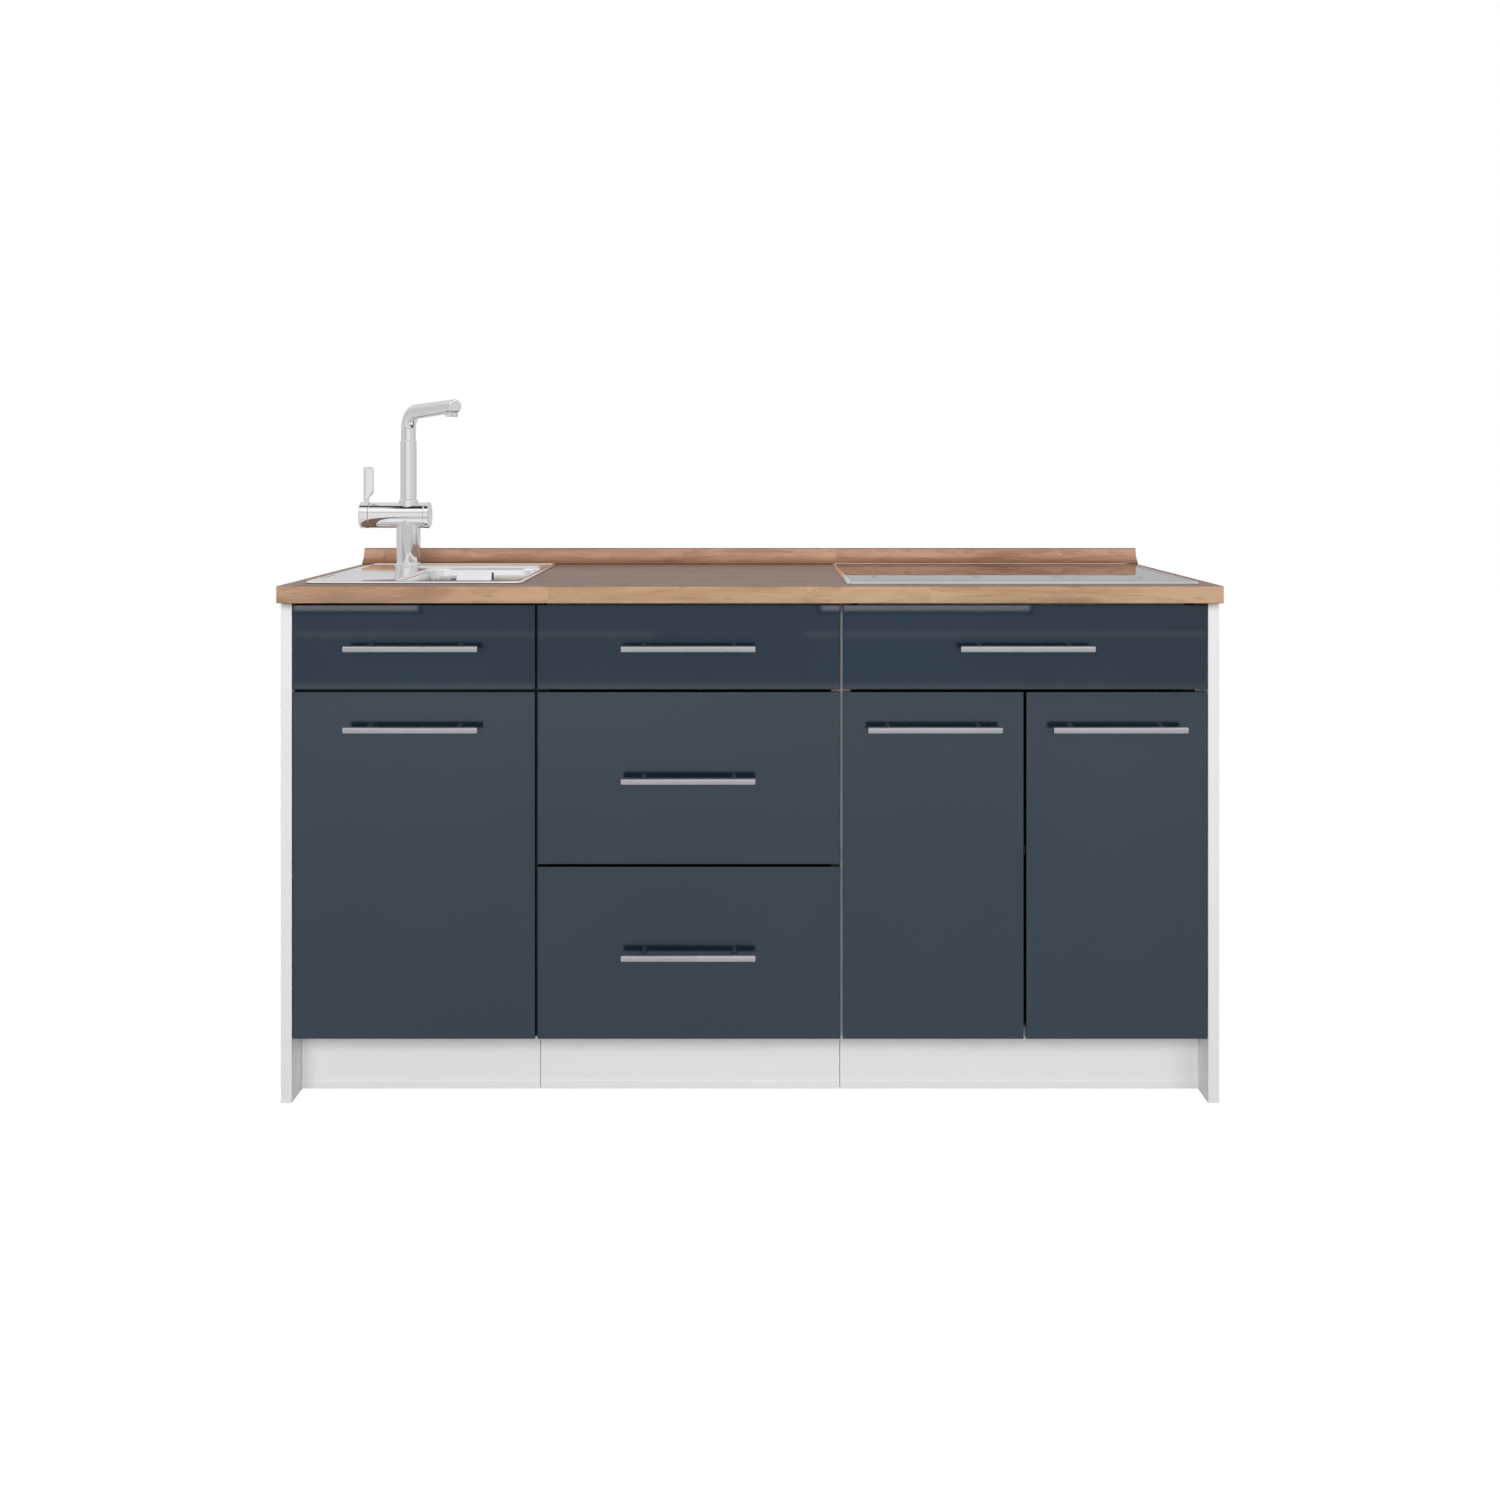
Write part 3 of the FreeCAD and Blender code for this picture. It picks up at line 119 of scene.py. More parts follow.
def rounded_profile(corners, radius):
    """A profile whose inner corners are eased: each corner becomes a quadratic curve
    (1-t)^2 a + 2t(1-t) c + t^2 b between points a and b one radius before and after it.

    A straight stretch of more than LONG_STRETCH radii gets a point near both ends, which
    keeps its shading straight.
    """
    corners = np.array(corners, float)
    t = np.linspace(0, 1, EASE_STEPS)[:, None]
    pieces = [corners[:1]]
    for before, corner, after in zip(corners[:-2], corners[1:-1], corners[2:]):
        ends = []
        for other in (before, after):
            length = np.linalg.norm(other - corner)
            ends.append(corner + (other - corner) / length * min(radius, length / 2))
        a, b = ends
        pieces.append((1 - t) ** 2 * a + 2 * t * (1 - t) * corner + t ** 2 * b)
    pieces.append(corners[-1:])
    points = np.concatenate(pieces)
    kept = [points[:1]]
    for a, b in zip(points[:-1], points[1:]):
        length = np.linalg.norm(b - a)
        if length > LONG_STRETCH * radius:
            step = (b - a) / length * radius
            kept += [[a + step], [b - step]]
        kept.append([b])
    return np.concatenate(kept)


def tube(path, radii, side, around):
    """Circles of radii[i] round path[i], in the plane spanned by side and the third axis.

    The path stays in one plane, and side is that plane's normal, so the circle's own
    axes are side and side x tangent.
    """
    tangent = np.gradient(path, axis=0)
    tangent /= np.linalg.norm(tangent, axis=1, keepdims=True)
    other = np.cross(side, tangent)
    angle = np.linspace(0, 2 * np.pi, around, endpoint=False)
    ring = (np.cos(angle)[None, :, None] * side[None, None, :]
            + np.sin(angle)[None, :, None] * other[:, None, :])
    return patch((path[:, None, :] + ring * np.array(radii)[:, None, None]) * MM)


def rectangle_ring(centre, half, corner, z, arc, straight):
    """A level rectangle with round corners, as one closed ring of points.

    Each corner is a quarter circle of arc points, and each side between two corners is
    divided into equal steps.
    """
    corner = min(corner, *half)
    turns = np.arange(4)[:, None] * np.pi / 2 + np.linspace(0, np.pi / 2, arc)[None, :]
    signs = np.array([[1, 1], [-1, 1], [-1, -1], [1, -1]])
    middle = signs * (np.array(half) - corner)
    arcs = middle[:, None, :] + corner * np.stack([np.cos(turns), np.sin(turns)], axis=-1)
    start, end = arcs[:, -1], np.roll(arcs[:, 0], -1, axis=0)
    t = np.linspace(0, 1, straight + 1)[1:-1][None, :, None]
    sides = start[:, None, :] * (1 - t) + end[:, None, :] * t
    flat = np.concatenate([arcs, sides], axis=1).reshape(-1, 2) + np.array(centre)
    return np.column_stack([flat, np.full(len(flat), z)])


# %% [markdown]
# ## From surface to piece
#
# A finished piece sits at the origin with its place in its mesh, rides on the body that
# carries it, and hides the CAD nodes that it stands for.  Doubles are merged first, so that
# poles close, and then the faces of closed shells are turned outwards.


# %% Make a piece
def add_piece(name, surface, body, material, replaces=(), closed=True, sharp=32):
    """A mesh object from (points, faces); edges over the sharp angle stay crisp."""
    points, faces = surface
    mesh = bpy.data.meshes.new(name)
    mesh.from_pydata(points.tolist(), [], faces.tolist())
    work = bmesh.new()
    work.from_mesh(mesh)
    bmesh.ops.remove_doubles(work, verts=work.verts, dist=2e-6)
    bmesh.ops.dissolve_degenerate(work, edges=work.edges, dist=1e-7)
    if closed:
        bmesh.ops.recalc_face_normals(work, faces=work.faces)
    work.to_mesh(mesh)
    work.free()
    mesh.shade_smooth()
    mesh.set_sharp_from_angle(angle=math.radians(sharp))
    piece = bpy.data.objects.new(name, mesh)
    bpy.context.scene.collection.objects.link(piece)
    mesh.materials.append(material)
    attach(piece, body)
    if replaces:
        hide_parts(*replaces)
    print(name, len(mesh.polygons), "faces")
    return piece


# %% [markdown]
# ## Tools for materials
#
# A finish is one Principled shader with noise behind its colour, roughness and bump.
# All patterns read Object coordinates, which are metres here, so a noise scale of 200
# has lumps of about 5 mm.


# %% Node tools
class Nodes:
    """A node tree; methods add nodes and hand back their outputs."""

    def __init__(self, tree):
        self.tree = tree

    def feed(self, socket, value):
        """A number, a colour or another node's output into a socket."""
        if isinstance(value, bpy.types.NodeSocket):
            self.tree.links.new(value, socket)
        else:
            socket.default_value = value

    def add(self, kind, inputs=None, **settings):
        """A node with its settings and inputs."""
        node = self.tree.nodes.new("ShaderNode" + kind)
        for name, value in settings.items():
            setattr(node, name, value)
        for name, value in (inputs or {}).items():
            self.feed(node.inputs[name], value)
        return node

    def axes(self, vector):
        """The X, Y and Z of a vector."""
        outputs = self.add("SeparateXYZ", {"Vector": vector}).outputs
        return outputs["X"], outputs["Y"], outputs["Z"]

    def vector(self, x, y, z):
        """A vector from its X, Y and Z."""
        return self.add("CombineXYZ", {"X": x, "Y": y, "Z": z}).outputs["Vector"]

    def spread(self, value, low, high, to_low=0.0, to_high=1.0, **settings):
        """A value's range low..high becomes to_low..to_high, held at the ends."""
        inputs = {"Value": value, "From Min": low, "From Max": high,
                  "To Min": to_low, "To Max": to_high}
        return self.add("MapRange", inputs, **settings).outputs["Result"]

    def maths(self, operation, a, b=0.0):
        """One sum of two values."""
        return self.add("Math", {0: a, 1: b}, operation=operation).outputs["Value"]

    def plus(self, a, b):
        """a + b."""
        return self.maths("ADD", a, b)

    def minus(self, a, b):
        """a - b."""
        return self.maths("SUBTRACT", a, b)

    def times(self, a, b):
        """a b."""
        return self.maths("MULTIPLY", a, b)


# %% Finish of a surface
class Finish(Nodes):
    """A material with one Principled shader, and the nodes that a finish is made of."""

    def __init__(self, name, **sockets):
        self.material = bpy.data.materials.new(name)
        self.material.use_nodes = True
        super().__init__(self.material.node_tree)
        self.shader = self.tree.nodes["Principled BSDF"]
        self.wire(**sockets)
        coordinates = self.add("TexCoord").outputs
        self.place, self.facing = coordinates["Object"], coordinates["Normal"]

    def scaled(self, x, y, z, place=None):
        """Coordinates stretched by a factor along each axis."""
        node = self.add("Mapping", {"Vector": place or self.place, "Scale": (x, y, z)})
        return node.outputs["Vector"]

    def noise(self, scale, detail=3.0, rough=0.5, place=None, bend=0.0):
        """Noise from 0 to 1 with lumps of about 1/scale."""
        inputs = {"Vector": place or self.place, "Scale": scale, "Detail": detail,
                  "Roughness": rough, "Distortion": bend}
        return self.add("TexNoise", inputs).outputs["Fac"]

    def cells(self, scale, place=None):
        """The distance to the nearest of many scattered points, about 1/scale apart."""
        inputs = {"Vector": place or self.place, "Scale": scale}
        return self.add("TexVoronoi", inputs).outputs["Distance"]

    def off(self, value, middle):
        """|value - middle|."""
        return self.maths("ABSOLUTE", self.minus(value, middle))

    def ramp(self, value, stops):
        """A colour ramp from a list of (position, colour)."""
        node = self.add("ValToRGB", {"Fac": value})
        elements = node.color_ramp.elements
        while len(elements) < len(stops):
            elements.new(0.5)
        for element, (position, colour) in zip(elements, stops):
            element.position, element.color = position, (*colour, 1)
        return node.outputs["Color"]

    def mix(self, fac, a, b, blend="MIX"):
        """Colour a to colour b by fac."""
        node = self.add("Mix", data_type="RGBA", blend_type=blend)
        for index, value in ((0, fac), (6, a), (7, b)):
            self.feed(node.inputs[index], (*value, 1) if isinstance(value, tuple) else value)
        return node.outputs[2]

    def bump(self, height, strength, distance, under=None):
        """A bump from a height, on top of another bump if there is one."""
        inputs = {"Height": height, "Strength": strength, "Distance": distance}
        if under is not None:
            inputs["Normal"] = under
        return self.add("Bump", inputs).outputs["Normal"]

    def wire(self, **sockets):
        """Numbers or outputs into the shader's sockets; hands back the material."""
        for socket, value in sockets.items():
            self.feed(self.shader.inputs[socket.replace("_", " ")], value)
        return self.material


# %% [markdown]
# ## Finishes
#
# The fronts are a high-gloss foil with a metallic effect: fine tinted flakes, which mirror
# the room very softly in slate blue, under a clear film, which mirrors it sharply.  That is
# why a handle throws a nearly black image on the front behind it: it hides the room from the
# flakes as well.


# %% Gloss foil of the fronts
def gloss_foil():
    """Slate flakes under a film that ripples slightly with the pressed board below it; the
    four edges, whose normals have little Y, are dull, and their colour is painted near
    black: painted shade of the gaps between the fronts."""
    f = Finish("gloss_slate_foil", Metallic=0.85, Specular_IOR_Level=0.0, Coat_Weight=1.0,
               Coat_Roughness=0.025, Coat_IOR=1.5)
    cloud = f.noise(3.0, 2)
    face = f.ramp(cloud, [(0.3, (0.0185, 0.0395, 0.0625)), (0.7, (0.0215, 0.0435, 0.0690))])
    turned = f.spread(f.maths("ABSOLUTE", f.axes(f.facing)[1]), 0.15, 0.5, 1.0, 0.0)
    # Painted shade: the edge faces, which line the gaps between the fronts, are painted near
    # black.
    colour = f.mix(turned, face, (0.008, 0.014, 0.021))
    dust = f.noise(900, 2, 0.6)
    ripple = f.noise(28, 2, 0.4)
    peel = f.noise(260, 2, 0.5)
    smear = f.noise(6, 4, 0.6, f.scaled(1.0, 1.0, 0.35))
    flakes = f.plus(f.spread(smear, 0.35, 0.75, 0.28, 0.32),
                    f.spread(dust, 0.64, 0.8, 0.0, 0.04))
    rough = f.plus(flakes, f.times(turned, 0.4))
    normal = f.bump(ripple, 0.02, 0.0003, f.bump(peel, 0.02, 0.00003))
    return f.wire(Base_Color=colour, Roughness=rough, Normal=normal, Coat_Normal=normal)


FOIL = gloss_foil()


# %% [markdown]
# The worktop's oak look is a print of glued staves: boards of different tone, each with
# grain along its length, pores as short dark strokes, and knots.  One 3-D pattern serves
# the top and the front edge, so the staves turn over the edge as on a solid board.


# %% Oak laminate
def oak(name, light, middle, dark, knot, gloss, stave=(0.62, 0.085), shades=()):
    """Staves of length and width stave, each row shifted by 0.618 of a stave; grain is noise
    stretched 7 times along X, and pores are finer noise stretched 20 times.

    shades is a list of (what, low, high, tint): where the value what goes from low to high,
    the colour is multiplied by the tint: a painted shade where the tint is darker, a painted
    sheen where it is lighter.
    """
    f = Finish(name, Specular_IOR_Level=gloss)
    x, y, z = f.axes(f.place)
    tilt = f.noise(2.2, 2, 0.5, f.scaled(0.5, 1.0, 1.0))
    row = f.maths("FLOOR", f.maths("DIVIDE", y, stave[1]))
    shift = f.maths("FRACT", f.times(row, 0.618))
    column = f.maths("FLOOR", f.plus(f.maths("DIVIDE", x, stave[0]), shift))
    tone = f.add("TexWhiteNoise", {"Vector": f.vector(row, column, 3.7)},
                 noise_dimensions="3D").outputs["Value"]
    offset = f.vector(tone, f.times(tone, 7.0), tone)
    moved = f.add("VectorMath", {0: f.place, 1: offset}, operation="ADD").outputs["Vector"]
    grain = f.noise(34, 6, 0.62, f.scaled(0.14, 1.0, 1.0, moved), 0.9)
    fine = f.noise(420, 3, 0.6, f.scaled(0.05, 1.0, 1.0, moved))
    spots = f.cells(9.0, f.scaled(1.0, 1.35, 1.35, moved))
    ring = f.maths("SINE", f.times(spots, 120.0))
    swirl = f.times(f.times(ring, f.spread(spots, 0.05, 0.24, 1.0, 0.0)), 0.13)
    base = f.ramp(f.plus(grain, swirl),
                  [(0.30, dark), (0.46, middle), (0.60, light), (0.78, middle)])
    toned = f.mix(f.spread(tone, 0.0, 1.0, 0.0, 0.34), base, middle)
    shade = f.mix(f.spread(tilt, 0.35, 0.7, 0.0, 0.30), toned, dark, "MULTIPLY")
    streak = f.noise(75, 4, 0.6, f.scaled(0.22, 1.0, 1.0, moved))
    shade = f.mix(f.spread(streak, 0.58, 0.72, 0.0, 0.55), shade, dark)
    pores = f.spread(fine, 0.60, 0.72, 0.0, 0.45)
    pored = f.mix(pores, shade, dark, "MULTIPLY")
    colour = f.mix(f.spread(spots, 0.03, 0.075, 0.85, 0.0), pored, knot)
    # Masks for painted light: the top faces get a painted shade, the top left of the sink a
    # painted sheen.
    up = f.axes(f.facing)[2]
    # Painted sheen: the narrow top left of the sink is painted lighter and greyer.
    left = f.times(up, f.spread(x, -0.736, -0.742))
    values = {"facing up, painted shade": up, "height": z, "top left of the sink, painted sheen": left}
    for what, low, high, tint in shades:
        colour = f.mix(f.spread(values[what], low, high), colour, tint, "MULTIPLY")
    rough = f.spread(fine, 0.3, 0.75, 0.36, 0.52)
    normal = f.bump(f.minus(grain, f.times(pores, 0.8)), 0.25, 0.00012)
    return f.wire(Base_Color=colour, Roughness=rough, Normal=normal)


OAK_TOP = oak("oak_laminate", (0.61, 0.41, 0.275), (0.51, 0.33, 0.213), (0.34, 0.20, 0.118),
              (0.16, 0.085, 0.047), 0.25,
              # Painted shade: the top faces are painted darker and greyer than the front edge,
              # as the top is lit less.
              shades=[("facing up, painted shade", 0.4, 0.9, (0.65, 0.565, 0.58)),
                      # Painted sheen: lighter and greyer on the narrow top left of the sink.
                      ("top left of the sink, painted sheen", 0.3, 0.9, (1.5, 1.75, 1.9))])
OAK_TRIM = oak("oak_trim_print", (0.66, 0.405, 0.275), (0.53, 0.30, 0.20),
               (0.36, 0.18, 0.11), (0.12, 0.055, 0.03), 0.35, (0.45, 0.2),
               # Painted shade: the upstand's print darkens towards its foot, in the cove.
               [("height", 0.864, 0.850, (0.52, 0.44, 0.38))])


# %% [markdown]
# Carcasses, end panels and plinth are chipboard faced with white melamine.  It is not quite
# even: a fine pearl grain scatters the light, and the tone drifts a little from board to
# board.  The front edges of the sink unit, and of the one beside it, are painted dark slate:
# painted shade, so that the gaps between their fronts look dark.


# %% White board
def white_board():
    """White melamine: small pearl bumps and a slow drift of tone.  Painted shade, in dark
    slate, is where a face looks to the front and lies within the four limits on X, Y and Z:
    the front edges in the gaps by the sink unit."""
    f = Finish("white_melamine", Specular_IOR_Level=0.4)
    drift = f.noise(1.3, 2)
    pearl = f.noise(1500, 2, 0.5)
    pinch = f.noise(240, 3, 0.55)
    scuff = f.noise(14, 5, 0.7, f.scaled(1.0, 1.0, 3.0))
    clean = f.ramp(drift, [(0.3, (0.82, 0.815, 0.82)), (0.7, (0.845, 0.84, 0.845))])
    scuffed = f.mix(f.spread(scuff, 0.70, 0.82, 0.0, 0.12), clean, (0.66, 0.65, 0.64))
    x, y, z = f.axes(f.place)
    # Painted shade: front edges in the gaps at the sink unit are painted dark slate.
    gap_painted_shade = f.spread(f.axes(f.facing)[1], -0.9, -0.8, 1.0, 0.0)
    for along, low, high in ((x, -0.7501, -0.7499), (x, -0.3335, -0.3338),
                             (y, -0.235, -0.245), (z, 0.1010, 0.1012)):
        gap_painted_shade = f.times(gap_painted_shade, f.spread(along, low, high))
    colour = f.mix(gap_painted_shade, scuffed, (0.012, 0.019, 0.027))
    rough = f.spread(pinch, 0.3, 0.7, 0.34, 0.46)
    normal = f.bump(pearl, 0.12, 0.00006, f.bump(pinch, 0.10, 0.0001))
    return f.wire(Base_Color=colour, Roughness=rough, Normal=normal)


WHITE = white_board()


# %% [markdown]
# The metals differ mostly in how they are worked.  A handle is brushed round its bar, the
# sink is polished along its length with a soft smear, and the tap is plated: almost a
# mirror, with the faint marks that drying water leaves.


# %% Metals
def brushed(name, tone, rough, lines, stretch, depth=0.00004):
    """Steel with fine lines: noise squeezed across the brushing direction."""
    f = Finish(name, Metallic=1.0)
    strokes = f.noise(lines, 3, 0.6, f.scaled(*stretch))
    cloud = f.noise(9, 4, 0.6)
    smear = f.noise(40, 4, 0.65)
    dim = tuple(c * 0.90 for c in tone)
    colour = f.mix(f.spread(cloud, 0.35, 0.7), tone, dim)
    worn = f.plus(f.spread(strokes, 0.3, 0.7, rough * 0.8, rough * 1.2),
                  f.spread(smear, 0.55, 0.8, 0.0, 0.06))
    return f.wire(Base_Color=colour, Roughness=worn, Normal=f.bump(strokes, 0.35, depth))


def plated(name, tone, rough):
    """Polished plate: slow waves, dried drops as slightly duller rings."""
    f = Finish(name, Metallic=1.0)
    wave = f.noise(30, 2, 0.4)
    marks = f.spread(f.noise(18, 3), 0.5, 0.62)
    ring = f.spread(f.off(f.cells(130.0), 0.32), 0.0, 0.05, 1.0, 0.0)
    film = f.times(ring, marks)
    colour = f.mix(f.spread(f.noise(7, 2), 0.3, 0.7), tone,
                   tuple(c * 0.95 for c in tone))
    roughness = f.plus(f.spread(wave, 0.3, 0.7, rough, rough * 1.6), f.times(film, 0.06))
    return f.wire(Base_Color=colour, Roughness=roughness, Normal=f.bump(wave, 0.02, 0.0003))


HANDLE = brushed("satin_handle_steel", (0.50, 0.51, 0.54), 0.30, 800, (0.06, 1.0, 1.0))
SINK = brushed("polished_sink_steel", (0.90, 0.90, 0.89), 0.085, 700, (1.0, 0.06, 1.0),
               0.00001)
CHROME = plated("chrome_plate", (0.82, 0.82, 0.83), 0.03)
FRAME_STEEL = brushed("hob_frame_steel", (0.78, 0.765, 0.745), 0.08, 900, (0.05, 0.05, 1.0))
NICKEL = plated("nickel_plate", (0.62, 0.60, 0.57), 0.16)
ZINC = brushed("galvanised_sheet", (0.46, 0.46, 0.47), 0.38, 60, (1.0, 1.0, 1.0), 0.0001)
BRASS = brushed("brass_thread", (0.62, 0.46, 0.20), 0.28, 600, (1.0, 1.0, 0.1))


# %% [markdown]
# Powder coat, plastic pipe and soft seals are all dull, and what tells them apart is the size
# of their bumps: powder melts to a fine orange peel, and moulded pipe keeps a satin skin with
# mould marks.  The near-black one is painted shade, for the inside of the overflow slot.


# %% Coats and plastics
def moulded(name, colour, rough, lump, depth, sheen=0.0):
    """A dull solid colour with lumps of 1/lump metres."""
    f = Finish(name, Specular_IOR_Level=0.45, Sheen_Weight=sheen)
    peel = f.noise(lump, 3, 0.55)
    cloud = f.noise(11, 3, 0.6)
    shade = tuple(c * 0.86 for c in colour)
    tint = f.mix(f.spread(cloud, 0.35, 0.75, 0.0, 0.6), colour, shade)
    roughness = f.spread(peel, 0.3, 0.7, rough * 0.85, rough * 1.15)
    return f.wire(Base_Color=tint, Roughness=roughness, Normal=f.bump(peel, 0.3, depth))


POWDER = moulded("grey_powder_coat", (0.66, 0.67, 0.68), 0.42, 1300, 0.00008)
PIPE = moulded("white_pipe_plastic", (0.78, 0.78, 0.77), 0.32, 500, 0.00005)
# Painted shade: near black, for the inside of the overflow slot.
SLOT_SHADE = moulded("overflow_slot_painted_shade", (0.03, 0.03, 0.032), 0.62, 900, 0.0001, 0.2)
LIP = moulded("brown_soft_lip", (0.085, 0.045, 0.028), 0.5, 700, 0.0001)
CLEAR = moulded("clear_bumper", (0.62, 0.62, 0.60), 0.25, 400, 0.00005)


# %% [markdown]
# The hob plate is black glass ceramic.  Its print is a ring of fine dots for each zone and a
# row of plain touch marks at the front, without words.  A ring is drawn where the distance
# from the zone's centre is close to the zone's radius.


# %% Glass ceramic
HOB_BOX = [np.array(v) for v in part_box("hob_glass")]
ZONES = [(0.135, 0.120, 0.090), (0.430, 0.115, 0.0725), (0.140, 0.365, 0.0725),
         (0.425, 0.355, 0.105)]
MARK_STEP, MARK_RING, MAIN_MARK_RING = 0.028, 0.0045, 0.0062


def glass_ceramic():
    """Black glass with printed rings: each is drawn where |distance - radius| is under about
    0.6 mm, and a zone's ring has dots on both sides."""
    f = Finish("black_glass_ceramic", IOR=1.34)
    speck = f.noise(1800, 2, 0.6)
    base = f.ramp(speck, [(0.55, (0.0045, 0.0045, 0.005)), (0.75, (0.011, 0.011, 0.012))])
    across, deep, _ = f.axes(f.place)
    flat = f.vector(across, deep, 0.0)
    dots = f.maths("GREATER_THAN", f.noise(650, 1, 0.5), 0.5)
    left, front = (float(v) for v in HOB_BOX[0][:2])

    def from_ring(x, y, radius):
        """The distance from a ring on the glass."""
        far = f.add("VectorMath", {0: flat, 1: (x, y, 0.0)}, operation="DISTANCE")
        return f.off(far.outputs["Value"], radius)

    drawn = 0.0
    for x, y, radius in ZONES:
        off = from_ring(left + x, front + y, radius)
        line = f.spread(off, 0.0004, 0.0009, 1.0, 0.0)
        tick = f.times(f.spread(off, 0.003, 0.0042, 1.0, 0.0), dots)
        drawn = f.maths("MAXIMUM", drawn, f.maths("MAXIMUM", line, f.times(tick, 0.5)))
    middle = float(HOB_BOX[0][0] + HOB_BOX[1][0]) / 2
    for number in range(-4, 5):
        size = MARK_RING if number % 4 else MAIN_MARK_RING
        off = from_ring(middle + number * MARK_STEP, front + MARK_STEP, size)
        drawn = f.maths("MAXIMUM", drawn, f.spread(off, 0.0003, 0.0007, 1.0, 0.0))
    colour = f.mix(f.times(drawn, 0.8), base, (0.17, 0.17, 0.175))
    smear = f.noise(9, 4, 0.6)
    rough = f.plus(f.spread(smear, 0.4, 0.8, 0.012, 0.05), f.times(drawn, 0.25))
    return f.wire(Base_Color=colour, Roughness=rough,
                  Normal=f.bump(f.noise(20, 2, 0.4), 0.02, 0.0004))


GLASS = glass_ceramic()

# %% [markdown]
# The record names a finish slot for every node.  A table from slot to material dresses all
# nodes at once, so a board can't be forgotten and a finish is changed in one place.

# %% Finishes for the nodes that stay
SLOTS = {"white": WHITE, "gloss_front": FOIL, "oak_worktop": OAK_TOP, "oak_trim": OAK_TRIM,
         "handle_steel": HANDLE, "fittings": NICKEL, "runner_steel": POWDER,
         "sink_steel": SINK, "white_plastic": PIPE, "tap_chrome": CHROME,
         "brass_nut": BRASS, "hob_trim": FRAME_STEEL, "hob_glass": GLASS,
         "hob_casing": ZINC}
for part in frame["record"]["subparts"]:
    for slot in frame["nodes"][part["node"]].material_slots:
        slot.material = SLOTS[part["material_slot"]]

# %% [markdown]
# ## The sink
#
# A pressed sink is one sheet: a raised rim, a deck a little below it, and a bowl whose
# edge, corners and floor are all rounded because steel can't be folded sharply.  It could be
# a box with bevels, but a stack of rounded rectangles, each slightly smaller and lower
# than the last, gives every radius its real size.

# %% Sink sheet
SINK_LOW, SINK_HIGH = (np.array(v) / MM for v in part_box("sink"))
SINK_CENTRE = (SINK_LOW[:2] + SINK_HIGH[:2]) / 2
SINK_HALF = (SINK_HIGH[:2] - SINK_LOW[:2]) / 2
SINK_CORNER, RIM_ROUND, RIM_DROP = 14, 1.2, 1.5
RIM_Z = SINK_HIGH[2]
DECK_Z = RIM_Z - RIM_DROP
BOWL_CENTRE = np.array([-495.5, -33.5])
BOWL_HALF = np.array([102.5, 159.0])
BOWL_CORNER, BOWL_DEPTH, EDGE_ROUND, FLOOR_ROUND, DRAFT = 35.0, 150, 5.0, 22, 1.5
BOWL_FLOOR = DECK_Z - BOWL_DEPTH


def sink_rings():
    """Outlines from the rim's foot to the edge of the waste hole, as (points, 3) rings.

    The rim's top is an arc, its inner side eases down to the deck by t^2 (3 - 2t), the
    bowl's edge and the round of its floor are quarter circles, and its walls draw in by
    DRAFT.
    """
    rings = [(SINK_CENTRE, SINK_HALF, SINK_CORNER, RIM_Z - 3.0)]
    for turn in np.linspace(math.radians(26), np.pi / 2, 6):
        inset = RIM_ROUND + RIM_ROUND * (0.9 - math.cos(turn))
        z = RIM_Z - RIM_ROUND * (1 - math.sin(turn))
        rings.append((SINK_CENTRE, SINK_HALF - inset, SINK_CORNER - inset, z))
    for t in np.linspace(0, 1, 6):
        inset, z = 4.6 + 3.0 * t, RIM_Z - RIM_DROP * (t * t * (3 - 2 * t))
        rings.append((SINK_CENTRE, SINK_HALF - inset, SINK_CORNER - inset * 0.6, z))
    for turn in np.linspace(0, np.pi / 2, 6):
        out, z = EDGE_ROUND * (1 - math.sin(turn)), DECK_Z - EDGE_ROUND * (1 - math.cos(turn))
        rings.append((BOWL_CENTRE, BOWL_HALF + out, BOWL_CORNER + out, z))
    for t in np.linspace(0.15, 1, 5):
        z = DECK_Z - EDGE_ROUND - (BOWL_DEPTH - EDGE_ROUND - FLOOR_ROUND) * t
        rings.append((BOWL_CENTRE, BOWL_HALF - DRAFT * t, BOWL_CORNER, z))
    for turn in np.linspace(0, np.pi / 2, 9)[1:]:
        inset = DRAFT + FLOOR_ROUND * (1 - math.cos(turn))
        z = BOWL_FLOOR + 2.0 * math.cos(turn) + FLOOR_ROUND * (1 - math.sin(turn)) + 0.6
        rings.append((BOWL_CENTRE, BOWL_HALF - inset, BOWL_CORNER - 8 * math.sin(turn), z))
    for radius, rise in ((60.0, 0.6), (44.0, 0.2), (42.2, 0.0), (42.2, -1.2)):
        rings.append((BOWL_CENTRE, np.full(2, radius), radius, BOWL_FLOOR + rise))
    return np.stack([rectangle_ring(*ring, arc=11, straight=9) for ring in rings])


sink_sheet = add_piece("sink_sheet", patch(sink_rings() * MM), "cabinet", SINK,
                       ["sink"], closed=False, sharp=50)
sink_sheet.data.flip_normals()
wall = sink_sheet.modifiers.new("wall", "SOLIDIFY")
wall.thickness = 1.0 * MM
wall.offset = -1
print("sink rim at", RIM_Z, "deck", DECK_Z, "floor", BOWL_FLOOR)

# %% [markdown]
# Water that rises too high leaves through a slot high in the back wall of the bowl, behind a
# pressed cover.  The cover is a shallow tray turned upside down: outlines that step out
# from the wall, round over and close on its face.  The slot is a strip of painted shade
# beside it, near black where the opening is.

# %% Overflow cover
OVERFLOW_X, OVERFLOW_Z = -520.0, DECK_Z - 19.5
BACK_WALL_Y = BOWL_CENTRE[1] + BOWL_HALF[1]


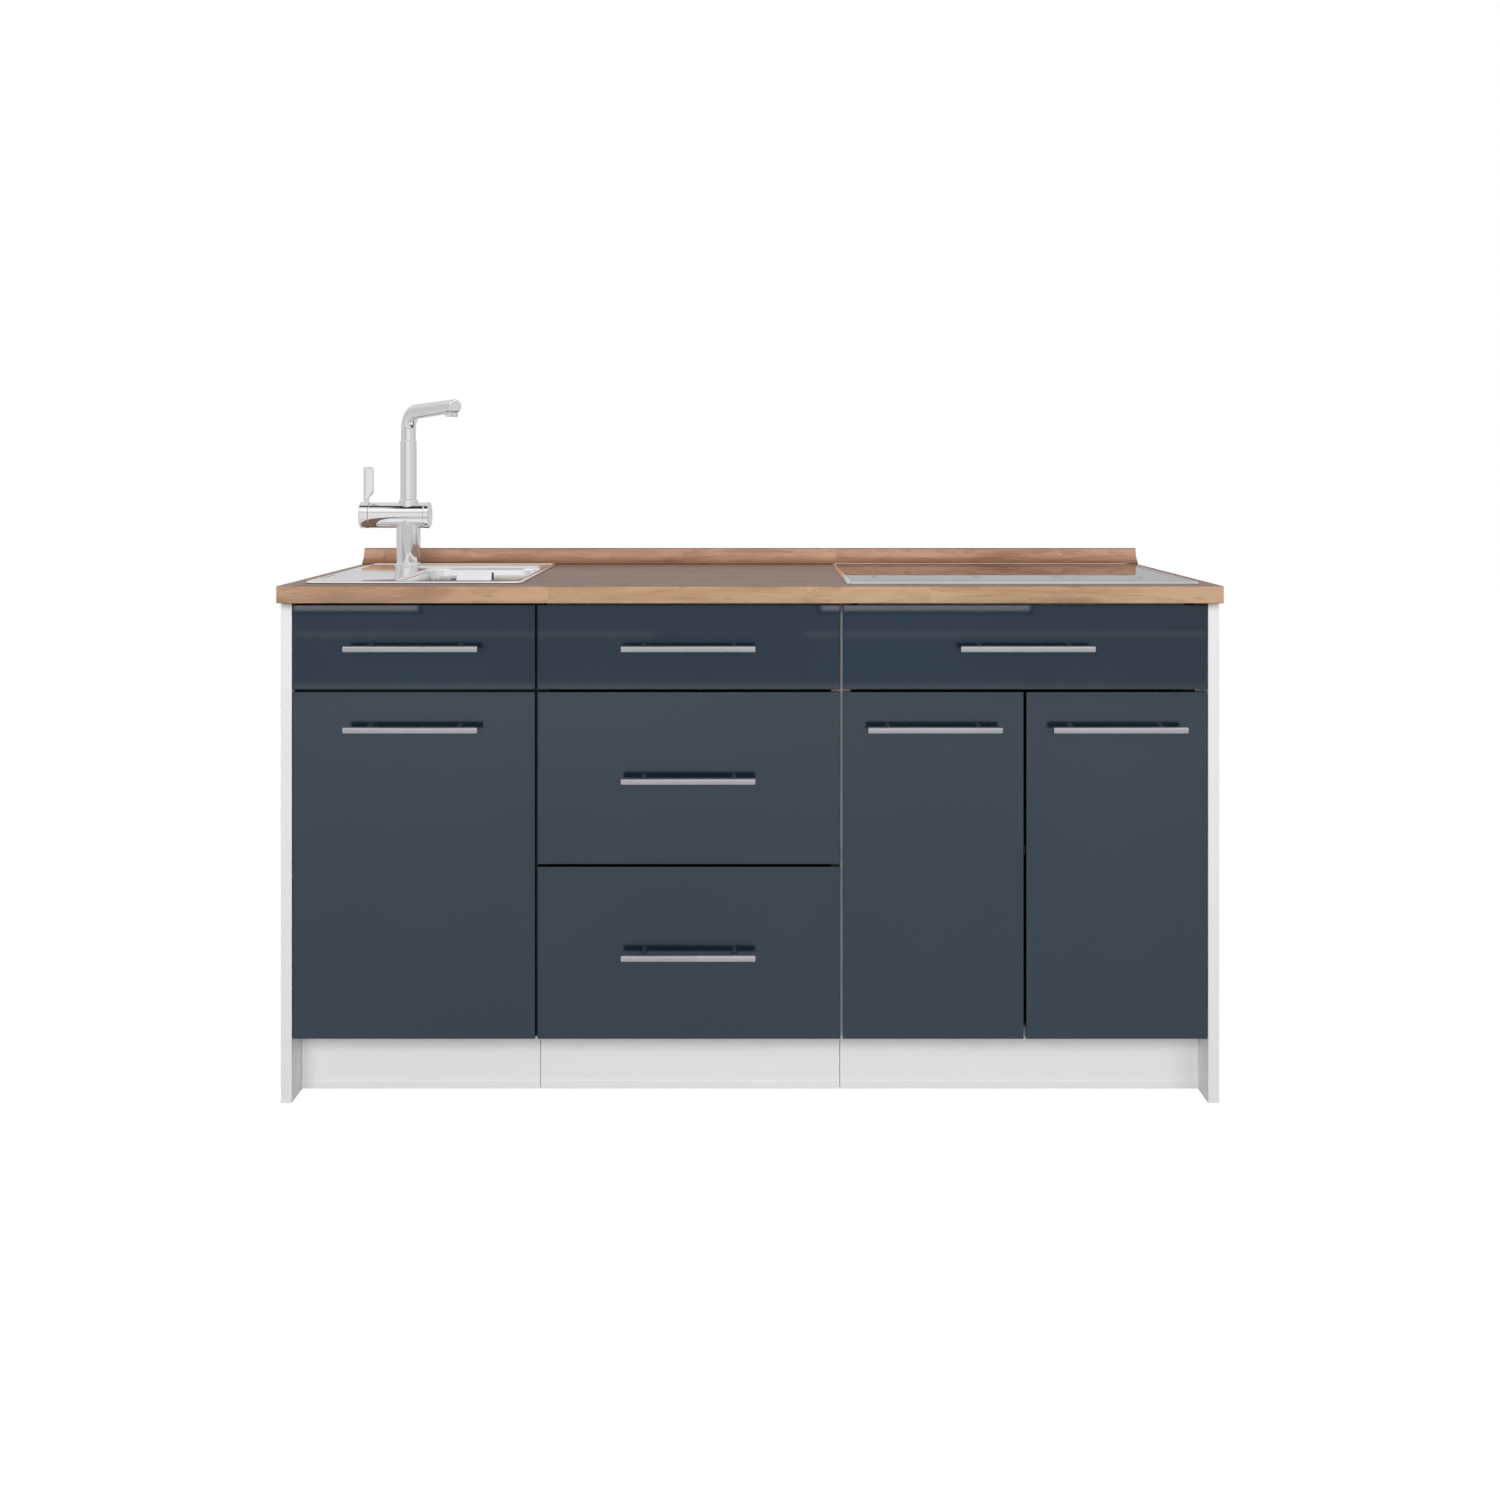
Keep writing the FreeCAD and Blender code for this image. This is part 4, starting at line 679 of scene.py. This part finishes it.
def wall_plate(centre_x, centre_z, half, corner, steps, lean=0.0):
    """Upright round-cornered outlines; steps is a list of (inset, distance from the wall).

    The distance is multiplied by 1 - lean (1 + height / half height) / 2, so a plate that
    leans stands out at its foot only.
    """
    rings = [rectangle_ring((centre_x, centre_z), np.array(half) - inset,
                            max(corner - inset, 0.4), 0, arc=6, straight=4)
             for inset, _ in steps]
    rings.append(np.array([[centre_x, centre_z, 0]]) * np.ones((len(rings[0]), 1)))
    out = np.array([far for _, far in steps] + [steps[-1][1]])
    flat = np.stack(rings)
    share = 1 - lean * (1 + (flat[..., 1] - centre_z) / half[1]) / 2
    y = BACK_WALL_Y - out[:, None] * share
    return patch(np.stack([flat[..., 0], y, flat[..., 1]], axis=-1) * MM)


cover = wall_plate(OVERFLOW_X, OVERFLOW_Z, (33.0, 15.0), 3.0,
                   [(0, 0.2), (0, 3.2), (0.3, 3.7), (0.9, 4.0), (1.8, 4.1), (2.2, 4.1)],
                   lean=0.9)
cover_piece = add_piece("overflow_cover", cover, "cabinet", SINK, closed=False)
cover_piece.data.flip_normals()
# Painted shade: a near-black strip stands for the dark inside of the overflow slot.
slot_strip = wall_plate(OVERFLOW_X + 35.6, OVERFLOW_Z, (1.9, 12.5), 1.2,
                        [(0, 0.6), (0, 1.1), (0.3, 1.2)])
add_piece("overflow_slot", slot_strip, "cabinet", SLOT_SHADE, closed=False)

# %% [markdown]
# The basket in the waste is a thin cup with a perforated floor and a knob to lift it by.  The
# holes are left out of a polar grid, in rings, as they are punched.


# %% Strainer basket
BASKET_LOW, BASKET_HIGH = (np.array(v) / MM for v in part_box("strainer_basket"))
HOLES_FROM, HOLE_PITCH = 8, 5


def strainer_basket():
    """Rings of radius r; the floor's holes are the faces where cos(n a) is high, with n
    growing by 4 from each ring of holes to the next."""
    x, y = BOWL_CENTRE
    low, high = BASKET_LOW[2], BASKET_HIGH[2]
    floor = [(r, low + 0.6) for r in np.linspace(6, 29, 24)]
    wall = [(31, low + 1.6), (31.6, low + 4), (32, high - 6), (32.6, high - 3), (35, high - 1)]
    points, faces = revolved(floor + wall, (x, y, 0), "z", 96)
    middle = points[faces].mean(axis=1) / MM - np.array([x, y, 0])
    reach = np.hypot(middle[:, 0], middle[:, 1])
    turn = np.arctan2(middle[:, 1], middle[:, 0])
    ring, across = np.divmod(reach - HOLES_FROM, HOLE_PITCH)
    hole = (across > 2.2) & (np.cos((12 + 4 * ring) * turn) > 0.2)
    hole &= (reach > 9) & (reach < 28.5) & (middle[:, 2] < low + 1.2)
    knob = revolved(rounded_profile([(0, low), (6.2, low), (6.2, low + 2), (4, low + 6),
                                     (4, high - 7), (9, high - 4), (9, high - 1.5),
                                     (0, high)], 1.5), (x, y, 0), "z", 32)
    return (points, faces[~hole]), knob


basket_cup, basket_knob = strainer_basket()
cup = add_piece("basket_cup", basket_cup, "basket", SINK, ["strainer_basket"],
                closed=False)
cup_wall = cup.modifiers.new("wall", "SOLIDIFY")
cup_wall.thickness = 0.7 * MM
add_piece("basket_knob", basket_knob, "basket", SINK)

# %% [markdown]
# ## The tap
#
# A side-lever mixer is turned parts: an upright column, a valve body lying across it with a
# cap at its right end, and a collar from which the spout rises.  Each is a profile turned
# about its own axis, with the small easings that polishing leaves on every edge.

# %% Column, valve and collar
TAP_X, TAP_Y = -660.0, 204.5
TAP_FOOT = (TAP_X, TAP_Y, 0)
VALVE_Z, COLLAR_Z, VALVE_LEFT = 947.5, 977.1, -74.2
column_profile = rounded_profile([(0, DECK_Z), (26, DECK_Z), (26, DECK_Z + 5),
                                  (23, DECK_Z + 5.6), (23, VALVE_Z)], 1.2)
column = revolved(column_profile, TAP_FOOT, "z", 72)
valve_profile = rounded_profile([(0, -59), (10.05, -59), (10.05, VALVE_LEFT),
                                 (24.6, VALVE_LEFT), (24.6, 31.6), (23.9, 31.8),
                                 (23.9, 32.2), (25.2, 32.4), (25.2, 41.5), (20, 42.3),
                                 (0, 42.6)], 0.8)
valve = revolved(valve_profile, (TAP_X, TAP_Y, VALVE_Z), "x", 80)
collar_profile = rounded_profile([(18.5, VALVE_Z), (18.5, COLLAR_Z), (0, COLLAR_Z)], 1.2)
collar = revolved(collar_profile, TAP_FOOT, "z", 64)
add_piece("tap_shell", joined(column, valve, collar), "cabinet", CHROME,
          ["tap_body"])

# %% [markdown]
# Below the deck a threaded brass shank pulls the tap down, and the two inlets end inside it.
# A thread is a screw modifier's classic use, but a radius that depends on height plus turn
# gives the same ridge as one closed grid.


# %% Threaded shank with its two inlets
def threaded(radius, pitch, depth, low, high, centre, around=48):
    """r = radius - depth |2 frac(z/pitch + a/2pi) - 1|: the ridge climbs one pitch a turn."""
    z = np.arange(low, high + 0.01, pitch / 6)[:, None]
    angle = np.linspace(0, 2 * np.pi, around, endpoint=False)[None, :]
    wave = np.abs(2 * np.mod(z / pitch + angle / (2 * np.pi), 1) - 1)
    r = radius - depth * wave
    points = np.stack([r * np.cos(angle), r * np.sin(angle), z + 0 * angle], axis=-1)
    return patch((points + np.array([*centre, 0])) * MM)


SHANK_LOW = DECK_Z - 62
shank = threaded(16, 1.5, 0.8, SHANK_LOW, DECK_Z - 1, (TAP_X, TAP_Y))
shank_end = revolved([(15.2, SHANK_LOW), (13.4, SHANK_LOW), (13.4, SHANK_LOW + 4),
                      (0, SHANK_LOW + 4)], TAP_FOOT, "z", 48)
inlets = [revolved([(4.5, SHANK_LOW + 18), (4.5, SHANK_LOW), (6.0, SHANK_LOW),
                    (6.0, SHANK_LOW + 5)], (TAP_X + side * 7, TAP_Y, 0), "z", 24)
          for side in (-1, 1)]
add_piece("tap_shank", joined(shank, shank_end, *inlets), "cabinet", BRASS,
          sharp=60)

# %% [markdown]
# The spout is one bent tube.  Its path is a straight rise, an arc of 34 mm radius and a
# slowly rising arm, all in one upright plane that is turned towards the bowl.  The radius
# changes along the path: a thicker riser with a fine seam, then the neck, the taper of the
# arm, and a rounded end.


# %% Spout
TURNED = math.radians(-50)
HEADING = np.array([math.cos(TURNED), math.sin(TURNED), 0])
ACROSS = np.array([-math.sin(TURNED), math.cos(TURNED), 0])
RISE = math.radians(2.5)
KNEE_R, KNEE_Z, ARM_RUN = 34.0, DECK_Z + 296, 150.0
TANGENT = KNEE_R * math.tan((math.pi / 2 - RISE) / 2)
SEAM_Z = DECK_Z + 241.5


def spout_line():
    """Distances (out, up) along the neck: a rise, then centre + R(-cos b, sin b), then
    a straight arm; with each point comes the tube's radius."""
    rise = np.column_stack([np.zeros(4), np.linspace(SEAM_Z - 2, KNEE_Z - TANGENT - 2, 4)])
    bend = np.linspace(0, math.pi / 2 - RISE, 22)
    arc = np.column_stack([KNEE_R * (1 - np.cos(bend)),
                           KNEE_Z - TANGENT + KNEE_R * np.sin(bend)])
    along = np.linspace(6, ARM_RUN - 4, 14)
    end = np.linspace(0, math.pi / 2, 9)
    last = np.concatenate([along, ARM_RUN - 4 + 4 * np.sin(end[1:])])
    arm = arc[-1] + np.outer(last, [math.cos(RISE), math.sin(RISE)])
    radius = np.concatenate([np.full(26, 14.0), 14 - 1.2 * last / ARM_RUN])
    radius[-8:] -= 4 * (1 - np.cos(end[1:]))
    line = np.concatenate([rise, arc, arm])
    return np.concatenate([line, line[-1:]]), np.append(radius, 0.0)


out_up, neck_radius = spout_line()
neck_path = (np.array(TAP_FOOT) + out_up[:, :1] * HEADING
             + out_up[:, 1:] * np.array([0, 0, 1.0]))
neck_path[-1] += HEADING * 0.6
neck = tube(neck_path, neck_radius, ACROSS, 64)
riser_low = COLLAR_Z + 0.4
riser_profile = rounded_profile([(0, riser_low), (15.5, riser_low), (15.5, SEAM_Z - 0.2),
                                 (14.0, SEAM_Z + 0.9), (0, SEAM_Z + 0.9)], 0.6)
riser = revolved(riser_profile, TAP_FOOT, "z", 64)
add_piece("spout_tube", joined(riser, neck), "spout", CHROME, ["spout_pipe"])

# %% [markdown]
# The aerator screws into the arm's underside near its end.  Its knurl is a wave on the
# radius of a turned ring, and what shows from below is a grille of thin rings.


# %% Aerator
def aerator():
    """A knurled ring r = 11.5 + 0.25 cos(48 a) with a fine grille of rings inside it."""
    along = ARM_RUN - 16
    reach = out_up[25, 0] + along * math.cos(RISE)
    low = KNEE_Z + TANGENT * math.sin(RISE) + along * math.sin(RISE) - 12.8 - 9 + 3
    centre = np.array(TAP_FOOT) + HEADING * reach
    ring = [(10.4, low + 9), (11.5, low + 8), (11.5, low + 1.2), (10.9, low), (9.2, low),
            (8.8, low + 2.4), (0, low + 2.4)]

    def knurl(angle, radius):
        return np.where(radius > 11.2, 0.25 * np.cos(48 * angle), 0.0)

    body = revolved(ring, centre, "z", 192, knurl)
    bars = [revolved([(r - 0.35, low + 2.3), (r - 0.35, low + 1.4), (r + 0.35, low + 1.4),
                      (r + 0.35, low + 2.3)], centre, "z", 48) for r in (2.0, 4.0, 6.0, 8.0)]
    return body, joined(*bars)


aerator_ring, aerator_bars = aerator()
add_piece("aerator_ring", aerator_ring, "spout", CHROME, ["spout_aerator"])
add_piece("aerator_bars", aerator_bars, "spout", NICKEL, closed=False)

# %% [markdown]
# The lever is a flat blade that grows out of a round neck.  Stacked outlines do that: a
# circle at the neck widens to one side and flattens, and the last outlines draw in to
# round off the tip.


# %% Lever
PIVOT_X, PIVOT_Z = TAP_X + VALVE_LEFT - 0.4 - 6.6, VALVE_Z + 12


def lever_blade():
    """Outlines with half width w(z) and half thickness d(z), shifted so that the left edge
    stays straight."""
    heights = np.array([1.5, 6, 13, 17, 19, 21, 24, 28, 31.5, 36, 50, 64, 76, 79, 80.3, 81])
    widths = np.array([4.5, 4.5, 4.5, 4.6, 4.9, 5.3, 6.6, 8.6, 9.6, 9.75, 9.75, 9.75, 9.75,
                       9.4, 8.7, 7.4])
    thick = np.array([4.5, 4.5, 4.4, 4.0, 3.4, 3.1, 3.0, 3.0, 3.0, 3.0, 2.9, 2.8, 2.7,
                      2.45, 1.9, 1.0])
    shift = np.where(heights < 18, 0.0, widths - 5.5 + np.clip((20 - heights) / 6, 0, 0.5))
    rings = np.stack([rectangle_ring((PIVOT_X + s, TAP_Y), (w, d),
                                     min(d, 2.4 if z > 19 else d), PIVOT_Z + z, 8, 4)
                      for z, w, d, s in zip(heights, widths, thick, shift)])
    ends = np.repeat(rings[[0, -1]].mean(axis=1, keepdims=True), rings.shape[1], axis=1)
    return patch(np.concatenate([ends[:1], rings, ends[1:]]) * MM)


add_piece("lever_blade", lever_blade(), "lever", CHROME, ["tap_lever"])

# %% [markdown]
# ## Bar handles
#
# A bar handle is a 12 mm bar with turned ends on two posts.  All eight are the same, so one
# function makes the surface and only the place changes.

# %% Handles
FRONT_Y, FRONT_THICK = -270.5, 18
BAR_Y, BAR_HALF, POST_X = FRONT_Y - 28, 109.0, 74
TOP_ROW_Z, DOOR_HANDLE_Z = 746.5, 615
HANDLES = {
    "sink_front": ("cabinet", -550, TOP_ROW_Z),
    "sink_door": ("sink_door", -550, DOOR_HANDLE_Z),
    "top_drawer": ("top_drawer", -100, TOP_ROW_Z),
    "middle_drawer": ("middle_drawer", -100, 532),
    "bottom_drawer": ("bottom_drawer", -100, 246),
    "hob_drawer": ("hob_drawer", 450, TOP_ROW_Z),
    "hob_door_left": ("hob_door_left", 300, DOOR_HANDLE_Z),
    "hob_door_right": ("hob_door_right", 600, DOOR_HANDLE_Z),
}


def bar_handle(x, z):
    """A bar turned about X with eased ends, and two posts turned about Y."""
    half = BAR_HALF
    bar = revolved([(0, -half), (4.6, -half), (5.4, -half + 0.15), (5.85, -half + 0.6),
                    (6, -half + 1.3), (6, half - 1.3), (5.85, half - 0.6),
                    (5.4, half - 0.15), (4.6, half), (0, half)], (x, BAR_Y, z), "x", 40)
    posts = [revolved([(0, 0), (4.9, 0), (4.9, 1.0), (4.5, 1.4), (4.5, 22), (4.5, 27), (0, 27)],
                      (x + side * POST_X, BAR_Y + 1, z), "y", 28) for side in (-1, 1)]
    return joined(bar, *posts)


for front, (body, x, z) in HANDLES.items():
    add_piece(front + "_bar", bar_handle(x, z), body, HANDLE,
              [front + "_handle"])

# %% [markdown]
# ## Fastenings
#
# Open a door and the small things show: pan-head screws that hold the handles, hinge plates
# and cups, and clear bumpers where the front meets the carcass.  A screw head is a domed disc
# whose cross recess is part of the same height function.


# %% Screws and bumpers
def screw_head(place, axis, sign, radius=4.0, high=2.0):
    """h = high (1 - (r/R)^2)^0.5 less a cross of depth 1 where |cos 2a| is high and r small."""
    around, rings = 16, 6
    r = np.linspace(0, 1, rings)[:, None] * np.ones(around)
    a = np.linspace(0, 2 * np.pi, around, endpoint=False)[None, :]
    cross = np.where((np.abs(np.cos(2 * a)) > 0.9) & (r < 0.65), 1.0, 0.0)
    h = high * np.sqrt(np.clip(1.04 - r ** 2, 0, 1)) - cross
    h[-1] = 0.0
    local = np.stack([r * radius * np.cos(a), r * radius * np.sin(a), sign * h], axis=-1)
    return patch((local @ TURN[axis] + np.array(place)) * MM)


def bumper(place):
    """A clear dot: a low dome on the inner face of a front."""
    return revolved([(0, 1.5), (2.6, 1.4), (3.8, 0.9), (4.1, 0.0), (0, 0)], place, "y", 20)


def add_screws(name, heads, body):
    """Several heads as one piece; they are open below, where they sit on their part."""
    add_piece(name, joined(*heads), body, NICKEL, closed=False, sharp=40)


BACK_Y = FRONT_Y + FRONT_THICK
for front, (body, x, z) in HANDLES.items():
    add_screws(front + "_screws",
               [screw_head((x + side * POST_X, BACK_Y, z), "y", 1) for side in (-1, 1)], body)

# %% Screws of cups and plates, bumpers
HINGE_LEVELS, BUMPER_LEVELS = (195, 583), (112, 666)
CUP_INSET, CUP_SCREW, BUMPER_INSET = 23, 21, 14
DOORS = {"sink_door": (-748, -352), "hob_door_left": (152, 448), "hob_door_right": (748, 452)}
for body, (hung_x, free_x) in DOORS.items():
    inwards = 1 if free_x > hung_x else -1
    cup_x = hung_x + inwards * CUP_INSET
    add_screws(body + "_cup_screws",
               [screw_head((cup_x, BACK_Y + 1.3, level + side * CUP_SCREW), "y", 1, 3.4, 1.6)
                for level in HINGE_LEVELS for side in (-1, 1)], body)
    dots = [bumper((free_x - inwards * BUMPER_INSET, BACK_Y, level))
            for level in BUMPER_LEVELS]
    add_piece(body + "_bumpers", joined(*dots), body, CLEAR)

PLATE_Y, PLATE_SCREW = -212.5, 15
add_screws("plate_screws",
           [screw_head((wall_x + side * 5, PLATE_Y, level + up * PLATE_SCREW), "x", side,
                       3.6, 1.6)
            for wall_x, side in ((-734, 1), (166, 1), (734, -1))
            for level in HINGE_LEVELS for up in (-1, 1)], "cabinet")

# %% [markdown]
# ## Bottle trap
#
# The trap hangs under the waste: a coupling nut, a cup that unscrews, and a slip nut on the
# outlet pipe.  The grips are ribs, made by adding a wave to the radius wherever the profile is
# at its widest.

# %% Trap
TRAP_X, TRAP_Y = BOWL_CENTRE
TRAP_FOOT, OUTLET = (TRAP_X, TRAP_Y, 0), (TRAP_X, TRAP_Y, 604)
PIPE_END = 302.5 - TRAP_Y


def ribs(count, depth, over):
    """A ripple of count ribs on every ring wider than over."""
    def ripple(angle, radius):
        return np.where(radius > over, depth * (np.abs(np.sin(count / 2 * angle)) - 0.6), 0.0)
    return ripple


trap_nut = revolved(rounded_profile([(0, 620), (25, 620), (26, 623), (26, 637), (24, 640),
                                     (20.4, 640)], 1.2), TRAP_FOOT, "z", 144,
                    ribs(36, 0.9, 25.5))
trap_cup = revolved(rounded_profile([(0, 521), (26, 521), (30.5, 526), (32, 536), (32, 588),
                                     (35, 592), (35, 608), (32, 611), (32, 622), (27, 626),
                                     (0, 626)], 2.5), TRAP_FOOT, "z", 144,
                    ribs(30, 1.0, 34.2))
outlet = revolved([(18, PIPE_END - 1), (18, 30), (20, 30), (20, PIPE_END), (18, PIPE_END),
                   (18, PIPE_END - 1)], OUTLET, "y", 48)
slip_nut = revolved(rounded_profile([(0, 28), (22, 28), (25, 41), (25, 62), (23, 64),
                                     (20.2, 64)], 1.2), OUTLET, "y", 144, ribs(32, 0.9, 24.5))
add_piece("trap_plastic", joined(trap_nut, trap_cup, outlet, slip_nut), "cabinet",
          PIPE, ["bottle_trap"])

# %% [markdown]
# ## Soft lips of the upstand
#
# A plastic upstand has a soft lip at the top, against the wall, and one at the foot, on the
# worktop, which keep water out.  Each is a thin rounded bead along the whole strip.

# %% Upstand lips
BEAD_R, BEAD_END = 0.9, 767.5
bead = [(0, -BEAD_END), (BEAD_R, -BEAD_END), (BEAD_R, 0), (BEAD_R, BEAD_END), (0, BEAD_END)]
lips = [revolved(bead, (0, y, z), "x", 12) for y, z in ((280.6, 848.9), (303.4, 878.1))]
add_piece("upstand_lips", joined(*lips), "cabinet", LIP)

# %% [markdown]
# ## Room, light and camera
#
# The picture is a catalogue view: pure white around the unit, light from everywhere, and the
# camera level, a little above the worktop, looking straight at the fronts.  The floor is pale
# and keeps a soft shadow.  Mirrors such as the fronts and the chrome need something to
# show, so a few plain cards stand behind the camera, seen only in reflections.


# %% Stage helpers
def stage_plane(name, corners, material):
    """A flat card through four corners that isn't part of the unit."""
    mesh = bpy.data.meshes.new(name)
    mesh.from_pydata(corners, [], [(0, 1, 2, 3)])
    mesh.materials.append(material)
    card = bpy.data.objects.new(name, mesh)
    bpy.context.scene.collection.objects.link(card)
    print(name, "on the stage")
    return card


def bare_material(name):
    """A material whose node tree is empty, and the tree's tools."""
    material = bpy.data.materials.new(name)
    material.use_nodes = True
    material.node_tree.nodes.clear()
    return material, Nodes(material.node_tree)


# %% [markdown]
# A white floor that is only lit needs so much light that the unit would burn out.  So most of
# its brightness, as the camera and the mirrors see it, shines from the floor itself, and the
# rest is lit and keeps a soft shadow under the unit.


# %% Floor
def floor_material():
    """Seen brightness = 0.93 for the camera or 0.60 for a mirror, plus a lit grey of 0.3."""
    material, n = bare_material("pale_floor")
    rays = n.add("LightPath").outputs
    mirrored = n.times(rays["Is Glossy Ray"], 0.60)
    seen = n.plus(n.times(rays["Is Camera Ray"], 0.93), mirrored)
    shine = n.add("Emission", {"Strength": seen}).outputs[0]
    grain = n.add("TexNoise", {"Scale": 3.0}).outputs["Fac"]
    matt = n.add("BsdfDiffuse", {"Color": n.spread(grain, 0.0, 1.0, 0.29, 0.31)}).outputs[0]
    both = n.add("AddShader", {0: shine, 1: matt}).outputs[0]
    n.add("OutputMaterial", {"Surface": both})
    return material


stage_plane("floor", [(-30, -5.4, 0), (30, -5.4, 0), (30, 30, 0), (-30, 30, 0)],
            floor_material())

# %% [markdown]
# The gloss fronts show the far side of the room: a pale wall, two windows in dark frames and
# a lit sill under each.  Each is a card that only mirrors see, so it throws no light of its
# own on the unit.


# %% Cards for the reflections
def glow(name, strength):
    """A material that shines evenly."""
    material, n = bare_material(name)
    shine = n.add("Emission", {"Strength": strength}).outputs[0]
    n.add("OutputMaterial", {"Surface": shine})
    return material


CARD_Y = -5.27
for name, x0, x1, z0, z1, behind, strength in (
        ("far_wall", -7.0, 7.0, 0.0, 0.55, 0.04, 0.46),
        ("upper_wall", -7.0, 7.0, 0.55, 0.74, 0.04, 0.64),
        ("dark_frame_left", -2.19, -1.56, 0.332, 0.47, 0.02, 0.02),
        ("dark_frame_right", 0.32, 1.35, 0.332, 0.47, 0.02, 0.02),
        ("window_left", -2.17, -1.58, 0.352, 0.45, 0.0, 2.75),
        ("window_right", 0.34, 1.33, 0.352, 0.45, 0.0, 2.75),
        ("sill_left", -2.17, -0.45, 0.224, 0.255, 0.0, 0.84),
        ("sill_right", 0.26, 2.17, 0.224, 0.255, 0.0, 0.84)):
    y = CARD_Y - behind
    card = stage_plane(name, [(x0, y, z0), (x1, y, z0), (x1, y, z1), (x0, y, z1)],
                       glow(name, strength))
    card.visible_camera = card.visible_diffuse = False
    card.visible_shadow = card.visible_transmission = False

# %% [markdown]
# Chrome and steel mirror the whole room, so the world is brighter and darker by direction.
# An image of a studio would do that too; here the strength is worked out from the ray's X, Y
# and Z with smooth steps, which keeps every edge where the tap and the sink need it.


# %% World
class Sky(Nodes):
    """The world's strength, built from sums on the direction of a ray."""

    def __init__(self):
        world = bpy.data.worlds.new("studio")
        bpy.context.scene.world = world
        world.use_nodes = True
        super().__init__(world.node_tree)
        self.background = self.tree.nodes["Background"].inputs
        self.background["Color"].default_value = (1, 1, 1, 1)
        self.x, self.y, self.z = self.axes(self.add("TexCoord").outputs["Generated"])
        self.rays = self.add("LightPath").outputs

    def step(self, value, low, high, start=0.0, end=1.0):
        """start below low, end above high, and a smooth change between."""
        return self.spread(value, low, high, start, end, interpolation_type="SMOOTHSTEP")

    def mix(self, share, a, b):
        """a where share is 0, b where it is 1."""
        return self.plus(self.times(share, b), self.times(self.minus(1.0, share), a))


def mirrored_room(sky):
    """What mirrors see: a grey room with a light strip ahead, a bright band high up ahead,
    and a dark panel overhead on the left, which draws the dark lines on the tap."""
    strip = sky.times(sky.step(sky.x, -0.28, -0.24), sky.step(sky.x, 0.50, 0.60, 1.0, 0.0))
    low = sky.mix(strip, 0.76, 0.92)
    middle = sky.mix(sky.step(sky.z, 0.20, 0.45), low, 0.72)
    band = sky.times(sky.step(sky.z, 0.50, 0.62), sky.step(sky.z, 0.86, 0.92, 1.0, 0.0))
    ahead = sky.mix(band, middle, 1.15)
    behind = sky.mix(sky.step(sky.z, 0.10, 0.50), 0.66, 0.80)
    room = sky.mix(sky.step(sky.y, -0.15, 0.15), ahead, behind)
    side = sky.plus(sky.times(sky.x, -0.72), sky.times(sky.y, -0.69))
    room = sky.times(room, sky.step(side, 0.93, 0.98, 1.0, 0.80))
    overhead = sky.step(sky.z, 0.945, 0.960)
    wedge = sky.times(sky.step(sky.z, 0.85, 0.87), sky.step(sky.x, -0.222, -0.214))
    left_ahead = sky.times(sky.step(sky.x, -0.14, -0.11, 1.0, 0.0),
                           sky.step(sky.y, 0.05, 0.15, 1.0, 0.0))
    panel = sky.times(sky.maths("MAXIMUM", overhead, wedge), left_ahead)
    return sky.mix(panel, room, 0.04)


def studio_world():
    """The room for mirrors, light that is brightest at the horizon, white for the camera."""
    sky = Sky()
    light = sky.step(sky.z, 0.0, 0.85, 0.66, 0.12)
    mirrored = sky.mix(sky.rays["Is Glossy Ray"], light, mirrored_room(sky))
    seen = sky.maths("MAXIMUM", sky.rays["Is Camera Ray"], sky.rays["Is Transmission Ray"])
    sky.feed(sky.background["Strength"], sky.mix(seen, mirrored, 1.0))
    print("world of", len(sky.tree.nodes), "nodes")


studio_world()

# %% [markdown]
# Two large soft lamps in front, one high on the left and a weaker one on the right, model the
# handles and the worktop's edge.  Mirrors don't see them, because the cards and the world are
# what they show.


# %% Lamps
def lamp(name, place, target, power, width, height):
    """A soft rectangular lamp aimed at a point."""
    data = bpy.data.lights.new(name, "AREA")
    data.shape = "RECTANGLE"
    data.size, data.size_y = width, height
    data.energy = power
    light = bpy.data.objects.new(name, data)
    bpy.context.scene.collection.objects.link(light)
    light.location = place
    direction = np.array(target) - np.array(place)
    light.rotation_euler = Vector(direction).to_track_quat("-Z", "Y").to_euler()
    light.visible_glossy = False
    print(name, power, "W")


lamp("front_soft", (-1.2, -5.5, 2.6), (0, 0, 0.6), 192, 4.0, 2.5)
lamp("front_right", (3.0, -4.0, 2.0), (0, 0, 0.6), 55, 2.5, 2.5)

# %% [markdown]
# The camera is level.  The photograph's horizon is above the middle of the frame, so the lens
# is shifted instead of tilted, which keeps the uprights upright.

# %% Camera
eye = bpy.data.cameras.new("camera")
camera = bpy.data.objects.new("camera", eye)
bpy.context.scene.collection.objects.link(camera)
camera.location = (0.0, -2.8935, 1.0445)
camera.rotation_euler = (math.pi / 2, 0, 0)
FRAME_PX, FOCAL_PX, HORIZON_PX = 1500, 1603, 465
eye.sensor_width = 36
eye.lens = FOCAL_PX / FRAME_PX * eye.sensor_width
eye.shift_y = (HORIZON_PX - FRAME_PX / 2) / FRAME_PX
bpy.context.scene.camera = camera
bpy.context.scene.view_settings.view_transform = "Standard"
